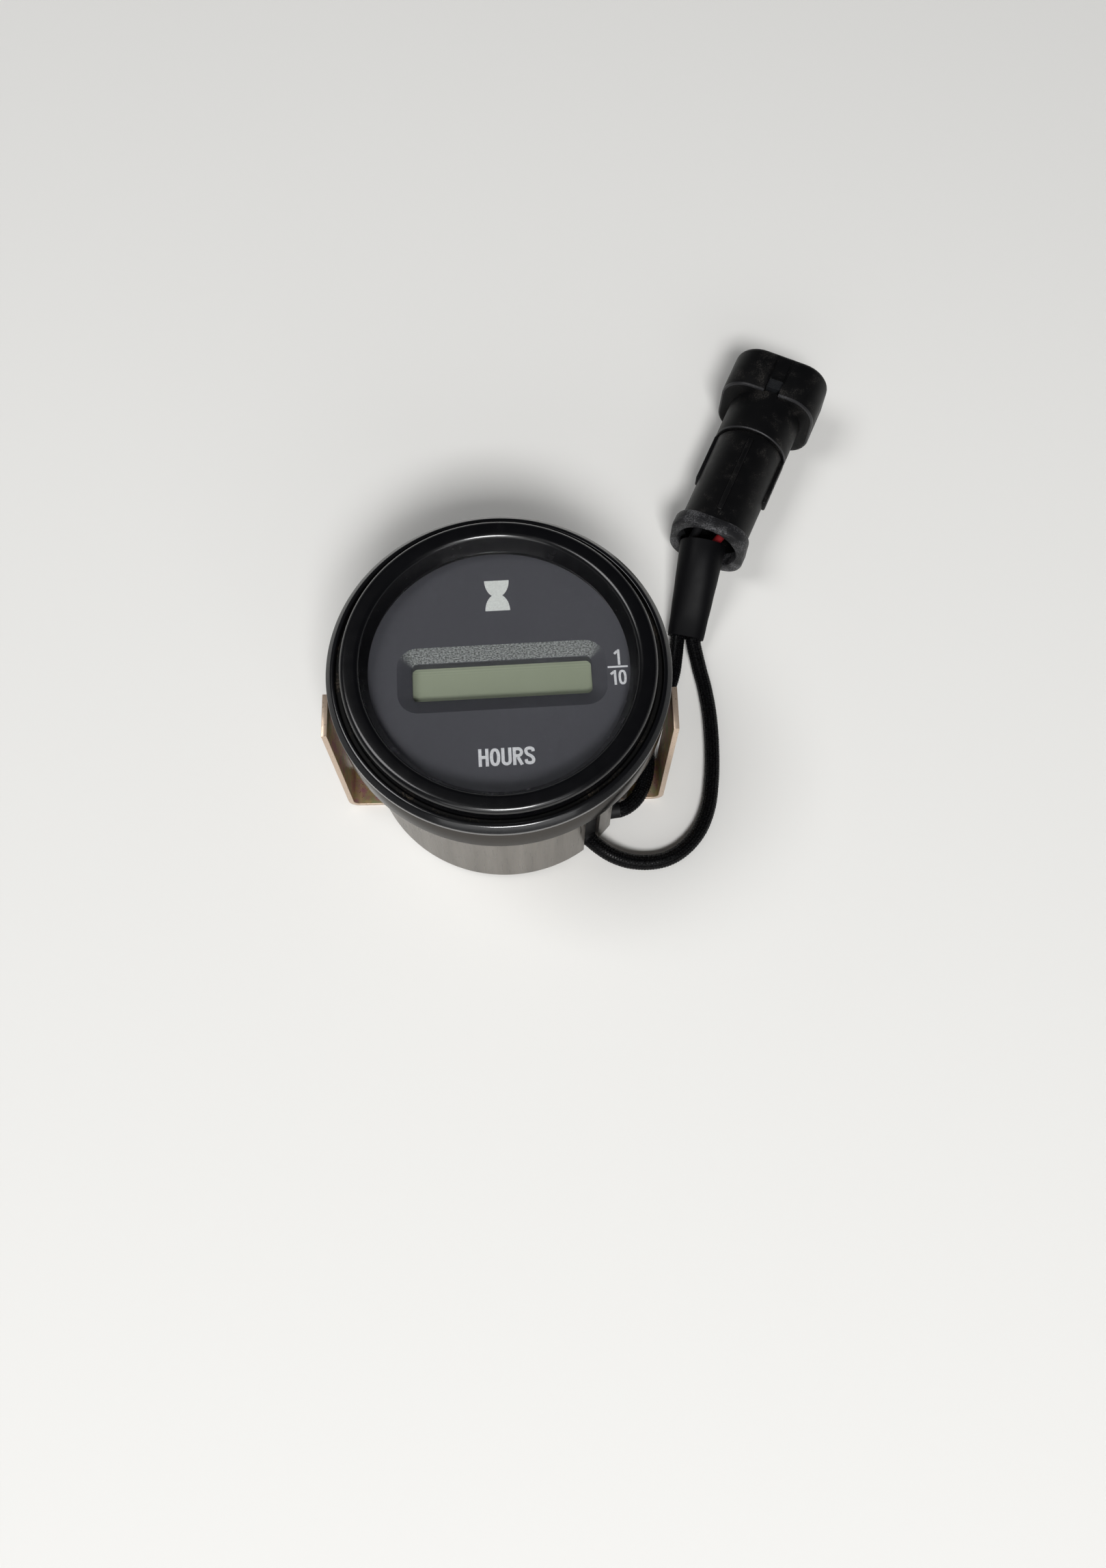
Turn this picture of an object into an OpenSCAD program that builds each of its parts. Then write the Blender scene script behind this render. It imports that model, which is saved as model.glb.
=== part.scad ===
// Round panel hour meter with a display, a clamp bracket and a two-lead plug.
// It stands on the clamp's web, face up. Origin: middle of the base. +Y is up on the dial.

/* [Case] */
// Outer diameter of the case body, which goes through the panel
body_d = 52; // [50:0.1:54]
// Height of the case body, from its base to the flange
body_h = 31.8; // [30:0.1:40]
// Outer diameter of the flange at the front of the case
flange_d = 59.6; // [59:0.1:62]
// Height of the flange
flange_h = 7.2; // [6.8:0.1:9]
// Sheet thickness of the drawn case
case_wall = 0.8; // [0.6:0.05:1]
// Radius on the outer edges of the case
case_round = 0.5; // [0.2:0.05:0.8]

/* [Bezel] */
// How far the rim stands out past the flange
rim_over = 0.2; // [0:0.05:0.6]
// Width of the rim, seen from the front
rim_w = 1.6; // [1.3:0.05:1.7]
// Height of the rim
rim_h = 1.8; // [1.4:0.1:2.6]
// Width of the groove between rim and bezel ring
groove_w = 1; // [0.6:0.05:1.2]
// Height of the rubber in the groove
seal_h = 0.9; // [0.5:0.1:1.2]
// Width of the top of the raised bezel ring
ring_w = 3.2; // [2.6:0.1:3.4]
// Height of the raised bezel ring over the flange
ring_h = 4.2; // [3.4:0.1:5.5]
// Radius on the top edges of the bezel ring
ring_round = 0.7; // [0.3:0.1:1.1]
// Diameter of the opening over the lens
opening_d = 45.4; // [43:0.1:46.4]

/* [Face] */
// Thickness of the lens
lens_t = 1.9; // [1.4:0.1:2.2]
// Height of the lens's upper face over the flange
lens_seat = 1; // [0.7:0.1:1.4]
// Width of the lens's clamped border
lens_border = 2.7; // [1.8:0.1:2.8]
// Depth of the dial's face under the top of the flange
dial_drop = 1.6; // [1.3:0.1:2.4]
// Thickness of the dial plate
dial_t = 0.8; // [0.6:0.1:1]
// Width of the display window
window_w = 31; // [26:0.1:32]
// Height of the display window
window_h = 6.9; // [5:0.1:7.4]
// Width of the bevel around the window
bevel_w = 2.6; // [1.8:0.1:2.9]
// Depth of the bevel
bevel_depth = 1; // [0.9:0.1:1.2]
// Corner radius of the window
window_round = 1; // [0.5:0.1:1.5]
// Offset of the window to the right of the dial's middle
window_x = 0.4; // [0:0.1:0.8]
// Offset of the window below the dial's middle
window_y = 0.7; // [0:0.1:1]
// Depth of the display's glass under the dial's face
display_depth = 3; // [2:0.1:3.4]

/* [Display module] */
// Border of the display's glass, hidden behind the dial
display_border = 1.7; // [1.4:0.1:2]
// Thickness of the display's glass
display_t = 2.2; // [1.6:0.1:2.6]
// Thickness of the reflector film
reflector_t = 0.3; // [0.2:0.05:0.5]
// Width of a contact strip
strip_w = 1.4; // [1:0.1:1.6]
// Height of a contact strip
strip_h = 3.2; // [2.4:0.1:4]
// Wall of the display holder
holder_wall = 1.4; // [1:0.1:2]
// Thickness of the circuit board
board_t = 1.6; // [1:0.1:2]
// Wall of the cup that carries the board
cup_wall = 1.8; // [1.4:0.1:2.2]
// Radius of a screw boss in the cup
boss_r = 2.4; // [2:0.1:2.8]
// Radius of a board screw's shank
board_screw_r = 1; // [0.8:0.05:1.2]
// Length of a board screw's shank
board_screw_len = 6; // [5:0.5:10]

/* [Leads] */
// Diameter of a sleeved lead
lead_d = 3; // [2.4:0.1:3.2]
// Height of the leads over the case's floor where they leave it
lead_rise = 1.8; // [1.7:0.1:3]
// Width of the first lead slot
slot_1_w = 3.6; // [3.6:0.1:4]
// Width of the second lead slot
slot_2_w = 6.4; // [6:0.1:7]
// Height of the lead slots
slot_h = 24; // [10:0.5:27]
// Height of the rubber seal behind the slots
lead_seal_h = 23; // [10:0.5:25]
// Depth of the rubber seal, measured inwards from the case wall
lead_seal_t = 4; // [3:0.1:4.5]
// Diameter of a bare wire
wire_d = 1.8; // [1.4:0.1:2]

/* [Clamp] */
// Width of the clamp's strap
strap_w = 8; // [7:0.1:10]
// Thickness of the clamp's strap
strap_t = 1; // [0.8:0.05:1.4]
// How far the middle of the strap lies in front of the case's axis
strap_offset = 6.7; // [6:0.1:8]
// Turn of the clamp about the case's axis
strap_turn = -2; // [-4:0.5:4]
// Inside radius of the strap's bends
bend_r = 1.4; // [0.8:0.1:2]
// Space between the flange and each leg
leg_gap = 0.2; // [0.1:0.05:0.6]
// How far the legs end under the rim
leg_drop = 2.4; // [1:0.1:6]
// Distance between the two clamp screws
clamp_pitch = 24; // [16:0.5:28]
// Radius of a clamp screw's shank
clamp_screw_r = 1.5; // [1.2:0.05:1.8]
// Length of a clamp screw
clamp_screw_len = 4; // [3.6:0.1:5]
// Thickness of a weld nut
nut_t = 2.4; // [2:0.1:3]

/* [Plug] */
// Radius of the plug's body
plug_r = 7.2; // [6.9:0.1:7.6]
// Length of the plug, from its rear lip to the mouth of the hood
plug_len = 44; // [42:0.5:48]
// Wall of the plug's rear cavity
plug_wall = 0.9; // [0.7:0.05:1]
// Depth of the plug's rear cavity
plug_cavity = 9; // [7:0.5:11]
// Length of the plug's hood
hood_len = 10.2; // [9.6:0.1:12]
// Width of the hood
hood_w = 20.4; // [19.6:0.1:22]
// Height of the hood
hood_h = 18; // [17.2:0.1:19]
// Corner radius of the hood
hood_round = 6; // [4:0.1:7]
// Wall of the hood
hood_wall = 2.2; // [1.9:0.1:2.4]
// Rounding of the hood's front edge
hood_front = 1.5; // [0.6:0.1:1.6]
// Distance between the two terminals
pin_pitch = 5.6; // [5.4:0.1:6.2]
// Radius of a terminal chamber
chamber_r = 2.2; // [2:0.1:2.4]
// Radius of a terminal pin
pin_r = 1.1; // [0.8:0.05:1.3]
// Radius of the heat shrink sleeve at the leads
shrink_r1 = 3.7; // [3.55:0.05:3.8]
// Radius of the heat shrink sleeve at the plug
shrink_r2 = 4.65; // [4:0.05:4.8]

/* [Hidden] */
$fn = 72;

// Space between pieces that slip together
fit = 0.1;
// Depth by which a cut runs past the face that it opens
past = 1;

// Levels, from the surface that the meter stands on
z_base = strap_t;
z_floor = z_base + case_wall;
z_step = z_base + body_h;
z_top = z_step + flange_h;
z_dial = z_top - dial_drop;
z_plate = z_dial - dial_t;
z_glass = z_dial - display_depth;
z_glass_back = z_glass - display_t;
z_board = z_glass_back - strip_h;
z_board_back = z_board - board_t;
z_lens = z_top + lens_seat;
z_lead = z_floor + lead_rise;

// Radii
body_r = body_d / 2;
bore_r = body_r - case_wall;
flange_r = flange_d / 2;
flange_bore = flange_r - case_wall;
rim_r = flange_r + rim_over;
rim_in = rim_r - rim_w;
ring_out = rim_in - groove_w;
ring_in = ring_out - ring_w;
opening_r = opening_d / 2;
lens_r = opening_r + lens_border;
stack_r = flange_bore - fit;
spacer_w = 3.6;
cup_r = bore_r - fit;
cup_in = cup_r - cup_wall;
board_r = cup_r;
boss_at = cup_in - boss_r + 0.6;
boss_angles = [30, 150, 270];

// Display
glass_w = window_w + 2 * display_border;
glass_h = window_h + 2 * display_border;
collar_wall = display_border - 0.4;
chip_pitch = 1.27;
bevel_round = window_round + bevel_w;
strip_y = glass_h / 2 - strip_w / 2;
window_at = [window_x, -window_y];

// Parts on the back of the board: places, and width, depth and height
controller_at = [-5, 3];
controller = [10.4, 7.5, 2.2];
memory_at = [7, 3];
memory = [5, 4, 1.6];
crystal_at = [0, -6];
crystal_size = [11, 4.6, 3.5];
capacitor_at = [-11, -7];
capacitor_r = 4;
capacitor_h = 11;
regulator_at = [4, 13];
regulator_size = [6.4, 6, 2.2];
tab_t = 0.5;

// Lead slots and the seal behind them, as angles about the case's axis
slot_1_angle = -53;
slot_2_angle = -34;
slot_undercut = 0.6;
seal_from = -66;
seal_to = -18;
seal_r = bore_r - fit;
seal_in = seal_r - lead_seal_t;
collar_r = lead_d / 2;
collar_len = 4;

// Clamp
leg_in = flange_r + leg_gap;
leg_out = leg_in + strap_t;
leg_top = z_top - leg_drop;
clamp_head_r = 1.8 * clamp_screw_r;

// Plug, along its own axis from the rear lip: place, turn and the lengths of its stretches
plug_at = [43.3, 39.1];
plug_turn = 63;
plug_z = hood_h / 2;
lip_w = 2 * plug_r + 1.6;
lip_h = lip_w - 1;
lip_round = 5;
lip_len = 3;
neck_len = 9;
neck_r = plug_r + 0.6;
hood_at = plug_len - hood_len;
seam_at = hood_at - neck_len;
hood_floor = 2.6;
cavity_r = plug_r - plug_wall;
seal_len = 5;
pin_from = plug_cavity + seal_len;
pin_tip = plug_len - 4;
window_len = 4;
latch_w = 3.2;
latch_set = 1.8;
line_w = 0.4;
rib_w = 3;
rib_over = 0.6;
ridge_w = 1;

// Heat shrink sleeve: middle of its end at the leads and of its end at the plug
shrink_from = [37.95, 21.6, shrink_r1 + 0.1];
shrink_to = [42.4, 38.6, plug_z - 0.6];
shrink_axis = unit(shrink_to - shrink_from);
shrink_side = unit(cross(shrink_axis, [0, 0, 1]));
shrink_up = cross(shrink_side, shrink_axis);
lead_spread = lead_d / 2 + 0.1;
lead_low = 1.1;
wire_spread = 2.4;

// Where the leads leave the seal, and their headings there
lead_1_exit = [15.4, -20.4, z_lead];
lead_1_heading = -46;
lead_2_exit = [21.6, -14.8, z_lead];
lead_2_heading = 5;

// Routes of the leads, from the case to the heat shrink sleeve
lead_1_route = concat([lead_1_exit], [
    [17.2, -22.1, 3.4], [19.6, -23.7, 2.9], [22.6, -24.8, 2.2], [26, -25.2, 1.7], [29.4, -24.9, 1.6],
    [32.4, -23.7, 1.6], [35.2, -21.5, 1.6], [37.6, -18.4, 1.6], [39.4, -14.2, 1.6], [40.5, -9, 1.6],
    [41.1, -4, 1.6], [41.4, 1, 1.6], [41.4, 6, 1.6], [41, 11, 1.6], [40.3, 15.5, 1.8]],
    [shrink_from + lead_spread * shrink_side - lead_low * shrink_up]);
lead_2_route = concat([lead_2_exit], [
    [22.6, -14.5, 3.6], [23.6, -13.9, 3.5], [24.7, -13, 3.4], [25.8, -11.6, 3.3], [26.9, -9.4, 3.3],
    [27.7, -6.6, 3.3], [28.1, -3, 3.2], [28.7, 0.6, 2.8], [30, 4, 2.2], [31.8, 7.4, 1.7], [33.5, 10.8, 1.6],
    [34.9, 14.4, 1.6], [35.7, 18, 1.8]],
    [shrink_from - lead_spread * shrink_side - lead_low * shrink_up]);

// A unit vector
function unit(v) = v / norm(v);

// Heading in the plane of the surface
function along(angle) = [cos(angle), sin(angle), 0];

// Points of a quarter round about a centre, from one angle to another
function arc(c, r, from, to, n = 6) = [for (k = [0:n]) let(a = from + (to - from) * k / n)
    [c[0] + r * cos(a), c[1] + r * sin(a)]];

// Direction of a route at one of its points
function heading(p, i, first, last) =
    i == 0 ? first : i == len(p) - 1 ? last : unit(p[i + 1] - p[i - 1]);

// Ring of points around a route
function ring_at(c, t, r, sides) =
    let(s = unit(cross(t, [0, 0, 1])), u = cross(s, t))
    [for (k = [0:sides - 1]) let(a = 360 * (k + 0.5) / sides) c + r * (cos(a) * s + sin(a) * u)];

// Round tube swept along a route, with flat ends square to the given headings
module tube(route, d, first, last, sides = 8) {
    n = len(route);
    points = [for (i = [0:n - 1]) each ring_at(route[i], heading(route, i, first, last), d / 2, sides)];
    walls = [for (i = [0:n - 2], k = [0:sides - 1]) let(j = (k + 1) % sides)
        [i * sides + k, i * sides + j, (i + 1) * sides + j, (i + 1) * sides + k]];
    start = [for (k = [0:sides - 1]) sides - 1 - k];
    end = [for (k = [0:sides - 1]) (n - 1) * sides + k];
    polyhedron(points, concat([start], walls, [end]), convexity = 8);
}

// Flat ring
module flat_ring(r_in, r_out, h) {
    rotate_extrude() translate([r_in, 0]) square([r_out - r_in, h]);
}

// Rectangle with round corners, about its middle
module soft_rect(w, h, r) {
    square([w - 2 * r, h], center = true);
    square([w, h - 2 * r], center = true);
    for (x = [-1, 1], y = [-1, 1]) translate([x * (w / 2 - r), y * (h / 2 - r)]) circle(r);
}

// Wedge between two angles, for cutting sectors
module wedge(from, to, r, h) {
    linear_extrude(h) polygon(concat([[0, 0]], arc([0, 0], r, from, to, 8)));
}

// Cylinder that points along a heading from a point
module rod_along(p, angle, r, len) {
    translate(p) rotate([0, 0, angle]) rotate([0, 90, 0]) cylinder(r = r, h = len);
}

// Place of the plug
module at_plug() {
    translate([plug_at[0], plug_at[1], plug_z]) rotate([0, 0, plug_turn]) children();
}

// Places of the two terminal chambers in the plug
module at_chambers() {
    at_plug() for (y = [-1, 1]) translate([0, y * pin_pitch / 2, 0]) children();
}

// Things in line with the plug's axis: a local X runs from the rear lip to the mouth
module along_plug(x) {
    translate([x, 0, 0]) rotate([90, 0, 90]) children();
}

// Place of the clamp and of its two screws
module at_clamp() {
    rotate([0, 0, strap_turn]) translate([0, -strap_offset, 0]) children();
}

module at_clamp_screws() {
    at_clamp() for (x = [-1, 1]) translate([x * clamp_pitch / 2, 0, 0]) children();
}

module at_board_screws() {
    for (a = boss_angles) rotate([0, 0, a]) translate([boss_at, 0, 0]) children();
}

// Slot through the wall of the case body
module lead_slot(angle, w) {
    rotate([0, 0, angle]) translate([bore_r - slot_undercut, -w / 2, z_base - past])
        cube([case_wall + slot_undercut + past, w, slot_h + past]);
}

module case() {
    color("silver") difference() {
        rotate_extrude() polygon(concat(
            [[0, z_base]],
            arc([body_r - case_round, z_base + case_round], case_round, -90, 0),
            [[body_r, z_step]],
            arc([flange_r - case_round, z_step + case_round], case_round, -90, 0),
            [[flange_r, z_top], [flange_bore, z_top], [flange_bore, z_step + case_wall],
             [bore_r, z_step + case_wall], [bore_r, z_floor], [0, z_floor]]));
        lead_slot(slot_1_angle, slot_1_w);
        lead_slot(slot_2_angle, slot_2_w);
        at_clamp_screws() translate([0, 0, z_base - past])
            cylinder(r = clamp_screw_r + fit, h = case_wall + 2 * past);
    }
}

module rim() {
    soft = min(rim_h, rim_w) / 2 - 0.05;
    color("black") translate([0, 0, z_top]) rotate_extrude() polygon(concat(
        [[rim_in, 0], [rim_r, 0]],
        arc([rim_r - soft, rim_h - soft], soft, 0, 90),
        arc([rim_in + soft / 2, rim_h - soft / 2], soft / 2, 90, 180)));
}

module bezel_seal() {
    color("black") translate([0, 0, z_top]) flat_ring(ring_out + fit / 2, rim_in - fit / 2, seal_h);
}

// Raised ring with a foot that the rim holds down on the dial plate
module bezel_ring() {
    top = ring_h - ring_round;
    color("black") translate([0, 0, z_top]) rotate_extrude() polygon(concat(
        [[opening_r, lens_seat], [lens_r + fit, lens_seat], [lens_r + fit, -dial_drop],
         [stack_r, -dial_drop], [stack_r, 0], [ring_out, 0]],
        arc([ring_out - ring_round, top], ring_round, 0, 90),
        arc([ring_in + ring_round, top], ring_round, 90, 160),
        [[opening_r, lens_seat + 0.15]]));
}

module lens() {
    color("azure") translate([0, 0, z_lens - lens_t]) cylinder(r = lens_r, h = lens_t);
}

module lens_gasket() {
    color("dimgray") translate([0, 0, z_dial]) flat_ring(opening_r + 0.4, lens_r, z_lens - lens_t - z_dial);
}

// Dial with a bevelled window and a collar that reaches down to the display's glass
module dial_plate() {
    color("dimgray") difference() {
        union() {
            translate([0, 0, z_plate]) cylinder(r = stack_r, h = dial_t);
            translate([window_at[0], window_at[1], z_glass]) linear_extrude(z_dial - z_glass - 0.1)
                soft_rect(window_w + 2 * collar_wall, window_h + 2 * collar_wall,
                    window_round + collar_wall);
        }
        translate([window_at[0], window_at[1], z_glass - past]) linear_extrude(display_depth + 2 * past)
            soft_rect(window_w, window_h, window_round);
        translate([window_at[0], window_at[1], z_dial]) hull() {
            translate([0, 0, -bevel_depth]) linear_extrude(0.01)
                soft_rect(window_w, window_h, window_round, $fn = 32);
            linear_extrude(0.01)
                soft_rect(window_w + 2 * bevel_w, window_h + 2 * bevel_w, bevel_round, $fn = 32);
        }
    }
}

// Ring on the step of the case that carries the dial plate
module spacer_ring() {
    color("white") translate([0, 0, z_step + case_wall])
        flat_ring(stack_r - spacer_w, stack_r, z_plate - z_step - case_wall);
}

module lcd_cell() {
    color("darkseagreen") translate([window_at[0], window_at[1], z_glass_back + display_t / 2])
        cube([glass_w, glass_h, display_t], center = true);
}

module lcd_reflector() {
    color("darkkhaki") translate([window_at[0], window_at[1], z_glass_back - reflector_t / 2])
        cube([glass_w - 2, glass_h - 2 * strip_w - 2 * fit, reflector_t], center = true);
}

// Two rubber contact strips that carry the display on the board
module zebra_strips() {
    color("slategray") for (y = [-1, 1])
        translate([window_at[0], window_at[1] + y * strip_y, z_board + strip_h / 2])
            cube([glass_w - 2, strip_w, strip_h], center = true);
}

module lcd_holder() {
    h = z_glass - z_board;
    color("white") translate([window_at[0], window_at[1], z_board + h / 2]) difference() {
        cube([glass_w + 2 * (fit + holder_wall), glass_h + 2 * (fit + holder_wall), h], center = true);
        cube([glass_w + 2 * fit, glass_h + 2 * fit, h + 2 * past], center = true);
    }
}

module circuit_board() {
    color("seagreen") difference() {
        translate([0, 0, z_board_back]) cylinder(r = board_r, h = board_t);
        at_board_screws() translate([0, 0, z_board_back - past])
            cylinder(r = board_screw_r + fit, h = board_t + 2 * past);
    }
}

// Chip with a row of leads along each long side, on the back of the board
module chip(size, leads) {
    translate([-size[0] / 2, -size[1] / 2, -size[2]]) cube([size[0], size[1], size[2] - fit]);
    for (k = [0:leads - 1], y = [-1, 1])
        translate([(k - (leads - 1) / 2) * chip_pitch, y * (size[1] / 2 + tab_t), -tab_t / 2])
            cube([0.3 * chip_pitch, 2.4 * tab_t, tab_t], center = true);
}

module controller_chip() {
    color("black") translate([controller_at[0], controller_at[1], z_board_back]) chip(controller, 8);
}

module memory_chip() {
    color("black") translate([memory_at[0], memory_at[1], z_board_back]) chip(memory, 4);
}

module crystal() {
    color("silver") translate([crystal_at[0], crystal_at[1], z_board_back - crystal_size[2]])
        linear_extrude(crystal_size[2]) soft_rect(crystal_size[0], crystal_size[1], 0.48 * crystal_size[1]);
}

module capacitor() {
    color("midnightblue") translate([capacitor_at[0], capacitor_at[1], z_board_back - capacitor_h])
        cylinder(r = capacitor_r, h = capacitor_h);
}

module regulator() {
    w = regulator_size[0];
    d = regulator_size[1];
    h = regulator_size[2];
    color("black") translate([regulator_at[0], regulator_at[1], z_board_back]) {
        translate([-w / 2, -d / 2, -h - fit]) cube([w, d, h]);
        translate([-0.4 * w, 0.3 * d, -tab_t]) cube([0.8 * w, 0.35 * d, tab_t]);
        for (x = [-1, 1]) translate([(0.36 * x - 0.06) * w, -0.85 * d, -tab_t])
            cube([0.12 * w, 0.5 * d, tab_t]);
    }
}

module board_screws() {
    color("silver") at_board_screws() {
        translate([0, 0, z_board]) cylinder(r = 1.8 * board_screw_r, h = 1.2 * board_screw_r);
        translate([0, 0, z_board_back - board_screw_len])
            cylinder(r = board_screw_r, h = board_screw_len + board_t);
    }
}

// Cup that stands on the case's floor and carries the board, open where the leads come in
module module_cup() {
    h = z_board_back - z_floor;
    color("gray") translate([0, 0, z_floor]) difference() {
        union() {
            flat_ring(cup_in, cup_r, h);
            at_board_screws() cylinder(r = boss_r, h = h);
        }
        translate([0, 0, -past]) wedge(seal_from - 1, seal_to + 1, body_d, h + 2 * past);
        at_board_screws() translate([0, 0, h - board_screw_len - past])
            cylinder(r = board_screw_r + fit / 2, h = board_screw_len + 2 * past);
    }
}

// Rubber block behind the slots, with a collar around each lead
module lead_seal() {
    color("black") {
        difference() {
            translate([0, 0, z_floor]) flat_ring(seal_in, seal_r, lead_seal_h);
            translate([0, 0, z_floor - past]) difference() {
                cylinder(r = body_d, h = lead_seal_h + 2 * past);
                translate([0, 0, -past]) wedge(seal_from, seal_to, 2 * body_d, lead_seal_h + 4 * past);
            }
        }
        rod_along(lead_1_exit - collar_len * along(lead_1_heading), lead_1_heading, collar_r, collar_len);
        rod_along(lead_2_exit - collar_len * along(lead_2_heading), lead_2_heading, collar_r, collar_len);
    }
}

// Wires from the seal up to the board
module inner_wires() {
    color("firebrick") for (a = [slot_1_angle, slot_2_angle]) rotate([0, 0, a])
        translate([(seal_in + seal_r) / 2, 0, z_floor + lead_seal_h])
            cylinder(d = wire_d, h = z_board_back - z_floor - lead_seal_h);
}

// U outline with round bends
module u_outline(half, top, r) {
    translate([-half, r]) square([2 * half, top - r]);
    translate([r - half, 0]) square([2 * (half - r), r]);
    for (x = [-1, 1]) translate([x * (half - r), r]) circle(r);
}

module clamp_bracket() {
    color("darkkhaki") difference() {
        at_clamp() translate([0, strap_w / 2, 0]) rotate([90, 0, 0]) linear_extrude(strap_w) difference() {
            u_outline(leg_out, leg_top, bend_r + strap_t);
            translate([0, strap_t]) u_outline(leg_in, leg_top, bend_r);
        }
        at_clamp_screws() {
            cylinder(r1 = clamp_head_r + fit, r2 = clamp_screw_r + fit, h = strap_t);
            translate([0, 0, -past]) cylinder(r = clamp_screw_r + fit, h = strap_t + 2 * past);
        }
    }
}

// Flat-headed screws, flush with the underside of the strap
module clamp_screws() {
    color("darkkhaki") at_clamp_screws() {
        cylinder(r1 = clamp_head_r, r2 = clamp_screw_r, h = strap_t);
        cylinder(r = clamp_screw_r, h = clamp_screw_len);
    }
}

module weld_nuts() {
    color("silver") at_clamp_screws() translate([0, 0, z_floor]) difference() {
        cylinder(r = 2.1 * clamp_screw_r, h = nut_t, $fn = 6);
        translate([0, 0, -past]) cylinder(r = clamp_screw_r + fit / 2, h = nut_t + 2 * past);
    }
}

module lead_1() {
    color("black") tube(lead_1_route, lead_d, along(lead_1_heading), shrink_axis);
}

module lead_2() {
    color("black") tube(lead_2_route, lead_d, along(lead_2_heading), shrink_axis);
}

// Tapered sleeve that gathers the leads
module heat_shrink() {
    len = norm(shrink_to - shrink_from);
    turn = atan2(shrink_axis[1], shrink_axis[0]);
    color("black") translate(shrink_from) rotate([0, 90 - asin(shrink_axis[2]), turn])
        cylinder(r1 = shrink_r1, r2 = shrink_r2, h = len);
}

// One step of the hood, set in all round
module hood_step(len, inset) {
    along_plug(hood_at) linear_extrude(len)
        soft_rect(hood_w - 2 * inset, hood_h - 2 * inset, hood_round - inset, $fn = 40);
}

// Hood with its front edge rounded in two steps
module hood_outside() {
    hull() {
        hood_step(hood_len - hood_front, 0);
        hood_step(hood_len - 0.3 * hood_front, 0.3 * hood_front);
        hood_step(hood_len, hood_front);
    }
}

// Outside of the plug: lip, round body, neck and hood, with a ridge on top and a rib on each side
module plug_outside() {
    along_plug(0) linear_extrude(lip_len) soft_rect(lip_w, lip_h, lip_round);
    along_plug(0) rotate_extrude() polygon([[0, lip_len / 2], [plug_r, lip_len / 2], [plug_r, seam_at],
        [neck_r, seam_at], [neck_r, hood_at + past], [0, hood_at + past]]);
    hood_outside();
    translate([1.6 * lip_len, -ridge_w / 2, plug_r - ridge_w / 2])
        cube([seam_at - 2.2 * lip_len, ridge_w, ridge_w]);
    translate([1.5 * plug_cavity, -plug_r - rib_over, -rib_w / 2])
        cube([seam_at - 1.5 * plug_cavity + past, 2 * (plug_r + rib_over), rib_w]);
}

module connector_housing() {
    color("black") at_plug() difference() {
        plug_outside();
        along_plug(-past) cylinder(r = cavity_r, h = plug_cavity + past);
        for (y = [-1, 1]) translate([0, y * pin_pitch / 2, 0]) along_plug(plug_cavity - past)
            cylinder(r = chamber_r, h = hood_at + hood_floor - plug_cavity + 2 * past);
        along_plug(hood_at + hood_floor) linear_extrude(hood_len)
            soft_rect(hood_w - 2 * hood_wall, hood_h - 2 * hood_wall, hood_round - hood_wall);
        translate([hood_at - past, -latch_w / 2, hood_h / 2 - 2 * hood_wall])
            cube([window_len + past, latch_w, 3 * hood_wall]);
        for (y = [-1, 1])
            translate([hood_at + window_len - past, (y * latch_w - line_w) / 2, (hood_h - line_w) / 2])
                cube([hood_len, line_w, line_w]);
    }
}

// Latch tab that stands in the window on top of the hood
module lock_tab() {
    color("dimgray") at_plug()
        translate([hood_at + latch_set, -latch_w / 2 + fit, hood_h / 2 - 2 * hood_wall])
            cube([window_len - latch_set, latch_w - 2 * fit, 1.6 * hood_wall]);
}

module wire_seals() {
    color("indianred") at_chambers() along_plug(plug_cavity)
        cylinder(r = chamber_r - fit / 2, h = seal_len);
}

module terminal_pins() {
    color("gold") at_chambers() {
        along_plug(pin_from) cylinder(r = chamber_r - fit / 2, h = hood_at - pin_from);
        along_plug(hood_at) cylinder(r = pin_r, h = pin_tip - hood_at);
    }
}

// Short wire from the sleeve into its seal in the plug
module plug_wire(side) {
    from = shrink_to + side * wire_spread * shrink_side;
    axis = along(plug_turn);
    across = [axis[1], -axis[0], 0];
    seat = [plug_at[0], plug_at[1], plug_z] + plug_cavity * axis + side * pin_pitch / 2 * across;
    tube([from, from + 2 * shrink_axis, seat - 2 * axis, seat], wire_d, shrink_axis, axis);
}

module red_wire() {
    color("red") plug_wire(1);
}

module black_wire() {
    color("black") plug_wire(-1);
}

case();
rim();
bezel_seal();
bezel_ring();
lens();
lens_gasket();
dial_plate();
spacer_ring();
lcd_cell();
lcd_reflector();
zebra_strips();
lcd_holder();
circuit_board();
controller_chip();
memory_chip();
crystal();
capacitor();
regulator();
board_screws();
module_cup();
lead_seal();
inner_wires();
clamp_bracket();
clamp_screws();
weld_nuts();
lead_1();
lead_2();
heat_shrink();
connector_housing();
lock_tab();
wire_seals();
terminal_pins();
red_wire();
black_wire();
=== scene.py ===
from functools import partial
from math import copysign, cos, dist, hypot, pi, radians, sin, sqrt, tan

import bmesh
import bpy
from mathutils import Matrix, Vector


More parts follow.
